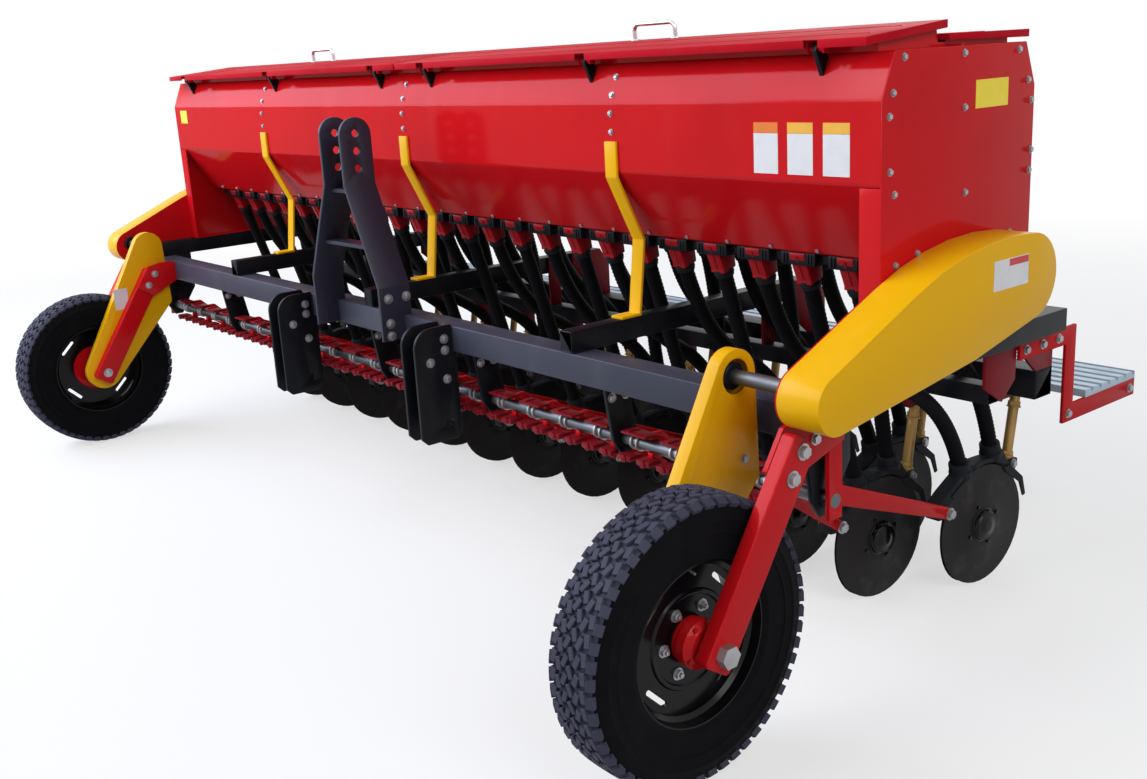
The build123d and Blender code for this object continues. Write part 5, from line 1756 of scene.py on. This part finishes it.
# ---- openers
@dataclass
class Openers:
    """Both ranks of double-disc openers with their arms and rods.

    Attributes:
        skins: Skins over the CAD nodes.
        half_gap: Half the gap between two discs at their middles.
        toe: Toe-in of each disc, in degrees.
        rivet_r: Radius at which the rivets of a cap lie.
        sockets: Middle of each hose socket's mouth in Y and Z, and its lean in degrees.
        side_ribs: Outline in Y and Z, thickness and rounding of the ribs on an opener's sides.
        body_half: Half the width of an opener's body.
        arm_x: Outer face of the drag arm from the row's middle.
        arm_end: Rear bolt of the drag arm from the disc centre, in Y and Z.
        rod_foot: Foot of the rod from the disc centre, in Y and Z.
        rod_top: Top of the rod from the disc centre, in Y and Z.
        rod_r: Radius of the rod.
        rod_nuts: Places of its nuts from its foot.
        nut_sizes: Radius and thickness of a nut's washer, then of the nut.
    """

    skins: Skins
    half_gap: float = 0.015
    toe: float = 4.0
    rivet_r: float = 0.062
    sockets: tuple[tuple[float, float, float], ...] = ((-0.090, 0.180, 18.0), (0.057, 0.200, 15.0))
    side_ribs: tuple[tuple[Points, float, float], ...] = (
        (((0.085, 0.150), (0.120, 0.150), (0.186, 0.098), (0.204, 0.040), (0.192, 0.036), (0.170, 0.085),
          (0.100, 0.132)), 0.006, 0.0012),
        (((-0.165, 0.130), (-0.060, 0.182), (-0.040, 0.182), (-0.060, 0.172), (-0.150, 0.118)), 0.004, 0.001))
    body_half: float = 0.022
    arm_x: float = 0.042
    arm_end: Pair = (-0.196, 0.094)
    rod_foot: Pair = (0.140, 0.160)
    rod_top: Pair = (0.175, 0.345)
    rod_r: float = 0.0145
    rod_nuts: tuple[float, ...] = (0.004, 0.150)
    nut_sizes: tuple[Pair, Pair] = ((0.020, 0.004), (0.0175, 0.014))

    def build(self) -> None:
        """Builds both ranks."""
        # columns: kind, template, slot, finish, CAD nodes that the piece stands for
        kinds = (
            ("discs", self.disc_pair(), "disc_steel", None, "discs"),
            ("caps", self.caps(), "disc_steel", Finish.GLOSS_BLACK, ""),
            ("fittings", self.fittings(), "cast_black", None, ""),
            ("bolts", self.bolts(), "rod_zinc", Finish.BOLT, ""),
            ("rods", self.rod(), "rod_zinc", None, "rods"),
        )
        for rank, centre_y in Rows.RANKS:
            places = Rows.openers(rank, centre_y)
            for kind, template, slot, finish, node in kinds:
                form = Form()
                form.stamp(template, places)
                replaces = [f"{node}_{rank}"] if node else []
                form.done(f"opener_{kind}_{rank}", "root", slot, finish, replaces)
            self.skins.dress(f"opener_bodies_{rank}", 0.004, angle=20.0)
            self.skins.dress(f"drag_arms_{rank}", 0.003)

    def hubs(self) -> list[tuple[Vector, Vector]]:
        """Where the discs of a pair turn.

        Returns:
            The middle and the outward axis of each.
        """
        turn = math.radians(self.toe)
        return [(Vector((side * self.half_gap, 0, 0)), Vector((side * math.cos(turn), -math.sin(turn), 0)))
                for side in (-1, 1)]

    def disc_pair(self) -> Mesh:
        """Two toed-in discs with their hubs."""
        edge, thick = Rows.DISC_R, 0.0018
        back = [(-0.010, 0.0), (-0.010, 0.030), (-thick, 0.032)]
        blade = [(-thick, edge - 0.012), (-0.0004, edge), (0.0004, edge), (thick, edge - 0.012)]
        face = [(thick, 0.078), (0.0035, 0.075), (0.0045, 0.060), (0.0050, 0.030), (0.0050, 0.0)]
        form = Form()
        for middle, axis in self.hubs():
            form.turned(back + blade + face, middle, axis, 40, closed=False)
        return form.template()

    def caps(self) -> Mesh:
        """The domed hub caps of one pair of discs with their rivets."""
        flange = [(0.003, 0.0), (0.003, 0.050), (0.0065, 0.050), (0.0085, 0.0465)]
        dome = [(0.0180, 0.0440), (0.0215, 0.0400), (0.0225, 0.0240), (0.0245, 0.0210), (0.0255, 0.0120),
                (0.0258, 0.0)]
        form = Form()
        for middle, axis in self.hubs():
            form.turned(flange + dome, middle, axis, 28, closed=False)
            for k in range(4):
                rivet = Matrix.Rotation(k * math.tau / 4 + 0.4, 3, axis) @ Vector((0, 0, self.rivet_r))
                form.bolt(middle + axis * 0.0045 + rivet, axis, 0.006, washer=False)
        return form.template()

    def fittings(self) -> Mesh:
        """Hose sockets and side ribs of one opener."""
        form = Form()
        for y, z, lean in self.sockets:
            turn = math.radians(lean)
            drop = Vector((0, math.sin(turn), -math.cos(turn)))
            mouth = Vector((0, y, z))
            form.rod(mouth - drop * 0.030, mouth + drop * 0.020, 0.0285, 20, 0.002, end_radius=0.0300)
            form.rod(mouth - drop * 0.004, mouth + drop * 0.006, 0.0318, 20, 0.0015)
        for side in (-1, 1):
            for outline, thick, bevel in self.side_ribs:
                form.sheet([(side * self.body_half, y, z) for y, z in outline], (side * thick, 0, 0), bevel, 1)
        return form.template()

    def bolts(self) -> Mesh:
        """Bolts of one opener's arm and rod."""
        form = Form()
        form.bolt((self.arm_x, *self.arm_end), (1, 0, 0), 0.013)
        form.bolt((-self.body_half, *self.arm_end), (-1, 0, 0), 0.011)
        foot_y, foot_z = self.rod_foot
        for side in (-1, 1):
            form.bolt((side * self.body_half, foot_y, foot_z - 0.012), (side, 0, 0), 0.010)
        return form.template()

    def rod(self) -> Mesh:
        """One press rod with its nuts."""
        foot, top = Vector((0, *self.rod_foot)), Vector((0, *self.rod_top))
        along = (top - foot).normalized()
        (washer_r, washer), (nut_r, nut) = self.nut_sizes
        form = Form()
        form.rod(foot - along * 0.004, top, self.rod_r, 18, 0.001)
        for distance in self.rod_nuts:
            start = foot + along * distance
            seat = start + along * washer
            form.rod(start, seat, washer_r, 18, 0.0006)
            form.rod(seat, seat + along * nut, nut_r, 6, 0.0012)
        return form.template()


# ---- hoses
@dataclass(frozen=True)
class HoseRun:
    """One rank of equal hoses.

    Attributes:
        node: The CAD node that they stand for.
        rank: Rank of openers that they feed.
        points: The route in Y and Z, from the meter to the opener.
    """

    node: str
    rank: str
    points: Points


# the route's points as the CAD has them: outlet, first and last turn, socket
HOSE_RUNS = (
    HoseRun("hoses_front_to_front", "front",
            ((-0.0240, 0.9470), (0.0347, 0.7663), (0.1075, 0.5167), (0.1600, 0.3550))),
    HoseRun("hoses_front_to_rear", "rear",
            ((-0.0240, 0.9470), (0.0502, 0.7187), (0.3713, 0.5357), (0.4300, 0.3550))),
    HoseRun("hoses_rear_to_front", "front",
            ((0.2130, 0.9470), (0.2518, 0.8021), (0.2630, 0.5392), (0.3070, 0.3750))),
    HoseRun("hoses_rear_to_rear", "rear",
            ((0.2130, 0.9470), (0.2609, 0.7683), (0.5149, 0.6068), (0.5770, 0.3750))),
)


@dataclass
class Hoses:
    """The ribbed hoses between meters and openers.

    Attributes:
        radius: Radius over the ribs.
        groove: Depth of the grooves between the ribs.
        pitch: Spacing of the ribs.
        sides: Sides of the tube.
        smooth: Greatest angle in degrees that is shaded smooth.
        runs: The four routes.
    """

    radius: float = 0.0220
    groove: float = 0.0016
    pitch: float = 0.0125
    sides: int = 12
    smooth: float = 60.0
    runs: tuple[HoseRun, ...] = HOSE_RUNS

    def build(self) -> None:
        """Builds the four ranks of hoses."""
        for run in self.runs:
            path = self.smooth_line(run)
            radii = [self.radius - (self.groove if k % 2 else 0.0) for k in range(len(path))]
            hose = Form()
            hose.swept(path, radii, (1, 0, 0), self.sides)
            places = [Matrix.Translation((place.translation.x, 0, 0)) for place in Rows.openers(run.rank, 0.0)]
            form = Form()
            form.stamp(hose.template(), places)
            form.done(f"{run.node}_ribbed", "root", "hose_black", replaces=[run.node], smooth=self.smooth)

    def smooth_line(self, run: HoseRun) -> list[Vector]:
        """Points evenly spaced along the route's smooth line.

        Args:
            run: The route.

        Returns:
            Points half a rib apart.
        """
        curve = bpy.data.curves.new(run.node, "CURVE")
        curve.dimensions = "3D"
        curve.resolution_u = 40
        spline = curve.splines.new("NURBS")
        spline.points.add(len(run.points) - 1)
        for point, (y, z) in zip(spline.points, run.points):
            point.co = (0.0, y, z, 1.0)
        spline.order_u = 3
        spline.use_endpoint_u = True
        holder = bpy.data.objects.new(run.node, curve)
        line = bpy.data.meshes.new_from_object(holder)
        fine = [vert.co.copy() for vert in line.vertices]
        bpy.data.objects.remove(holder)
        bpy.data.curves.remove(curve)
        bpy.data.meshes.remove(line)
        lengths = [0.0]
        for before, after in zip(fine, fine[1:]):
            lengths.append(lengths[-1] + (after - before).length)
        count = round(lengths[-1] / self.pitch) * 2
        even = []
        place = 0
        for k in range(count + 1):
            wanted = lengths[-1] * k / count
            while place < len(fine) - 2 and lengths[place + 1] < wanted:
                place += 1
            span = lengths[place + 1] - lengths[place]
            even.append(fine[place].lerp(fine[place + 1], (wanted - lengths[place]) / span))
        return even


# ---- step
@dataclass
class Step:
    """The loading step behind the machine.

    Attributes:
        skins: Skins over the CAD nodes.
        places: Bolts along the rails and the first under the tread, in Y and Z.
        inset: Distance of the last bolt from the brackets' rear.
        size: Radius of the bolts' heads.
    """

    skins: Skins
    places: Points = ((0.480, 0.715), (0.560, 0.715), (0.640, 0.715), (0.707, 0.488))
    inset: float = 0.030
    size: float = 0.010

    def build(self) -> None:
        """Builds the step's pieces."""
        self.skins.dress("step_tread", 0.0012, angle=20.0)
        self.bolts()

    def bolts(self) -> None:
        """Adds the bolts of its brackets."""
        _, (high_x, high_y, _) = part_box("step_brackets")
        _, foot_z = self.places[-1]
        form = Form()
        for side in (-1, 1):
            for y, z in (*self.places, (high_y - self.inset, foot_z)):
                form.bolt((side * high_x, y, z), (side, 0, 0), self.size)
        form.done("step_bolts", "root", "rod_zinc", Finish.BOLT)


# ---- stage
@dataclass(frozen=True)
class Lamp:
    """A large soft lamp.

    Attributes:
        name: Its name.
        place: Where it hangs.
        aim: The point that it faces.
        size: Side of its square.
        power: Power in watts.
        tint: Its colour.
    """

    name: str
    place: tuple[float, float, float]
    aim: tuple[float, float, float]
    size: float
    power: float
    tint: Colour = (1.0, 1.0, 1.0)

    def hang(self) -> None:
        """Adds the lamp."""
        data = bpy.data.lights.new(self.name, "AREA")
        data.energy = self.power
        data.color = self.tint
        data.size = self.size
        made = bpy.data.objects.new(self.name, data)
        made.location = self.place
        made.rotation_euler = (Vector(self.aim) - Vector(self.place)).to_track_quat("-Z", "Y").to_euler()
        bpy.context.scene.collection.objects.link(made)


LAMPS = (
    Lamp("key_light", (-1.5, -6.5, 5.5), (0.0, 0.0, 0.8), 5.0, 370.0),
    Lamp("sky_light", (-5.4, -3.7, 4.7), (0.0, 0.0, 1.4), 5.6, 520.0, (0.72, 0.79, 1.0)),
    Lamp("side_light", (7.0, -1.5, 4.5), (0.5, 0.0, 0.8), 4.0, 195.0),
    Lamp("rear_light", (-2.0, 6.5, 5.0), (0.0, 0.0, 0.8), 4.0, 120.0),
)


@dataclass
class Stage:
    """Floor, light and camera.

    Attributes:
        eye: Where the camera stands.
        yaw: Turn of the camera to the left of +Y, in radians.
        pitch: Its tilt down, in radians.
        roll: Its roll, in radians.
        lens: Focal length in millimetres.
        sensor: Width of the sensor in millimetres.
        sight: How far the camera sees.
        floor: Half the floor's side.
        floor_colour: Colour of the floor near the object.
        floor_roughness: Its roughness.
        floor_gloss: Its specular level.
        fade: Squares of the distances between which the floor turns white.
        near_white: Share of white in the floor near the object.
        floor_bounce: Colour of the floor as it lights the object.
        surround: Strength of the soft light from all around.
        surround_tint: Its colour.
        lamps: The lamps.
    """

    eye: tuple[float, float, float] = (3.582, -2.403, 1.532)
    yaw: float = 0.8985
    pitch: float = 0.2665
    roll: float = -0.0579
    lens: float = 38.54
    sensor: float = 36.0
    sight: float = 200.0
    floor: float = 30.0
    floor_colour: Colour = (0.86, 0.87, 0.88)
    floor_roughness: float = 0.9
    floor_gloss: float = 0.1
    fade: Pair = (9.0, 60.0)
    near_white: float = 0.6
    floor_bounce: Colour = (0.40, 0.40, 0.42)
    surround: float = 0.25
    surround_tint: Colour = (0.93, 0.96, 1.0)
    lamps: tuple[Lamp, ...] = LAMPS

    def build(self) -> None:
        """Builds the stage."""
        bpy.context.scene.view_settings.view_transform = "Standard"
        self.ground()
        self.world()
        for lamp in self.lamps:
            lamp.hang()
        self.camera()

    def ground(self) -> None:
        """Lays the plain pale floor, which fades into white far off."""
        work = bmesh.new()
        bmesh.ops.create_grid(work, x_segments=2, y_segments=2, size=self.floor)
        mesh = bpy.data.meshes.new("floor")
        work.to_mesh(mesh)
        work.free()
        graph = Graph("pale_floor")
        graph.set(Base_Color=self.floor_colour, Roughness=self.floor_roughness, Specular_IOR_Level=self.floor_gloss)
        far = (graph.axis("X") ** 2 + graph.axis("Y") ** 2).ramp(*self.fade)
        far = far * (1 - self.near_white) + self.near_white
        glow = graph.node("ShaderNodeEmission", links={"Color": (1.0, 1.0, 1.0), "Strength": 1.0})
        pale = graph.node("ShaderNodeMixShader", links={0: far, 1: graph.shader.outputs[0], 2: glow.outputs[0]})
        # the object gets less light back from the floor than the camera sees on it
        dim = graph.node("ShaderNodeBsdfDiffuse", links={"Color": self.floor_bounce})
        seen = self.seen_directly(graph.tree)
        mix = graph.node("ShaderNodeMixShader", links={0: seen, 1: dim.outputs[0], 2: pale.outputs[0]})
        graph.feed(graph.tree.nodes["Material Output"].inputs["Surface"], mix.outputs[0])
        mesh.materials.append(graph.material)
        floor = bpy.data.objects.new("floor", mesh)
        bpy.context.scene.collection.objects.link(floor)

    def world(self) -> None:
        """Sets a soft white surround that the camera sees as white."""
        world = bpy.data.worlds.new("soft_white")
        bpy.context.scene.world = world
        world.use_nodes = True
        tree = world.node_tree
        tree.nodes.clear()
        soft = tree.nodes.new("ShaderNodeBackground")
        soft.inputs["Color"].default_value = (*self.surround_tint, 1.0)
        soft.inputs["Strength"].default_value = self.surround
        seen = tree.nodes.new("ShaderNodeBackground")
        seen.inputs["Strength"].default_value = 1.0
        seen.inputs["Color"].default_value = (1.0, 1.0, 1.0, 1.0)
        mix = tree.nodes.new("ShaderNodeMixShader")
        out = tree.nodes.new("ShaderNodeOutputWorld")
        tree.links.new(self.seen_directly(tree), mix.inputs[0])
        tree.links.new(soft.outputs[0], mix.inputs[1])
        tree.links.new(seen.outputs[0], mix.inputs[2])
        tree.links.new(mix.outputs[0], out.inputs["Surface"])

    @staticmethod
    def seen_directly(tree: bpy.types.NodeTree) -> Socket:
        """Tells camera, glossy and transmission rays, which show the surround itself, from the others.

        Args:
            tree: The node tree of a material or of the world.

        Returns:
            One for those rays, else zero.
        """
        path = tree.nodes.new("ShaderNodeLightPath")
        total = path.outputs["Is Camera Ray"]
        for name in ("Is Glossy Ray", "Is Transmission Ray"):
            more = tree.nodes.new("ShaderNodeMath")
            more.operation = "MAXIMUM"
            tree.links.new(total, more.inputs[0])
            tree.links.new(path.outputs[name], more.inputs[1])
            total = more.outputs[0]
        return total

    def camera(self) -> None:
        """Sets the camera."""
        level = math.cos(self.pitch)
        ahead = Vector((-math.sin(self.yaw) * level, math.cos(self.yaw) * level, -math.sin(self.pitch)))
        right = Vector((math.cos(self.yaw), math.sin(self.yaw), 0))
        above = right.cross(ahead)
        rolled = right * math.cos(self.roll) + above * math.sin(self.roll)
        upright = above * math.cos(self.roll) - right * math.sin(self.roll)
        data = bpy.data.cameras.new("camera")
        data.lens = self.lens
        data.sensor_width = self.sensor
        data.clip_end = self.sight
        made = bpy.data.objects.new("camera", data)
        made.matrix_world = Matrix.Translation(self.eye) @ Matrix((rolled, upright, -ahead)).transposed().to_4x4()
        bpy.context.scene.collection.objects.link(made)
        bpy.context.scene.camera = made


# ---- whole machine
def main() -> None:
    """Builds every sub-assembly around the frame."""
    logging.basicConfig(level=logging.INFO, format="%(name)s: %(message)s")
    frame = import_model()
    skins = Skins(frame)
    wheels = [Wheel(side, sign) for side, sign in SIDES]
    for part in (Stage(), FrameWork(skins), Hopper(skins), Lids(skins), *wheels, Drive(skins), Metering(),
                 Openers(skins), Hoses(), Step(skins)):
        log.info("building %s", type(part).__name__)
        part.build()


if __name__ == "__main__":
    main()
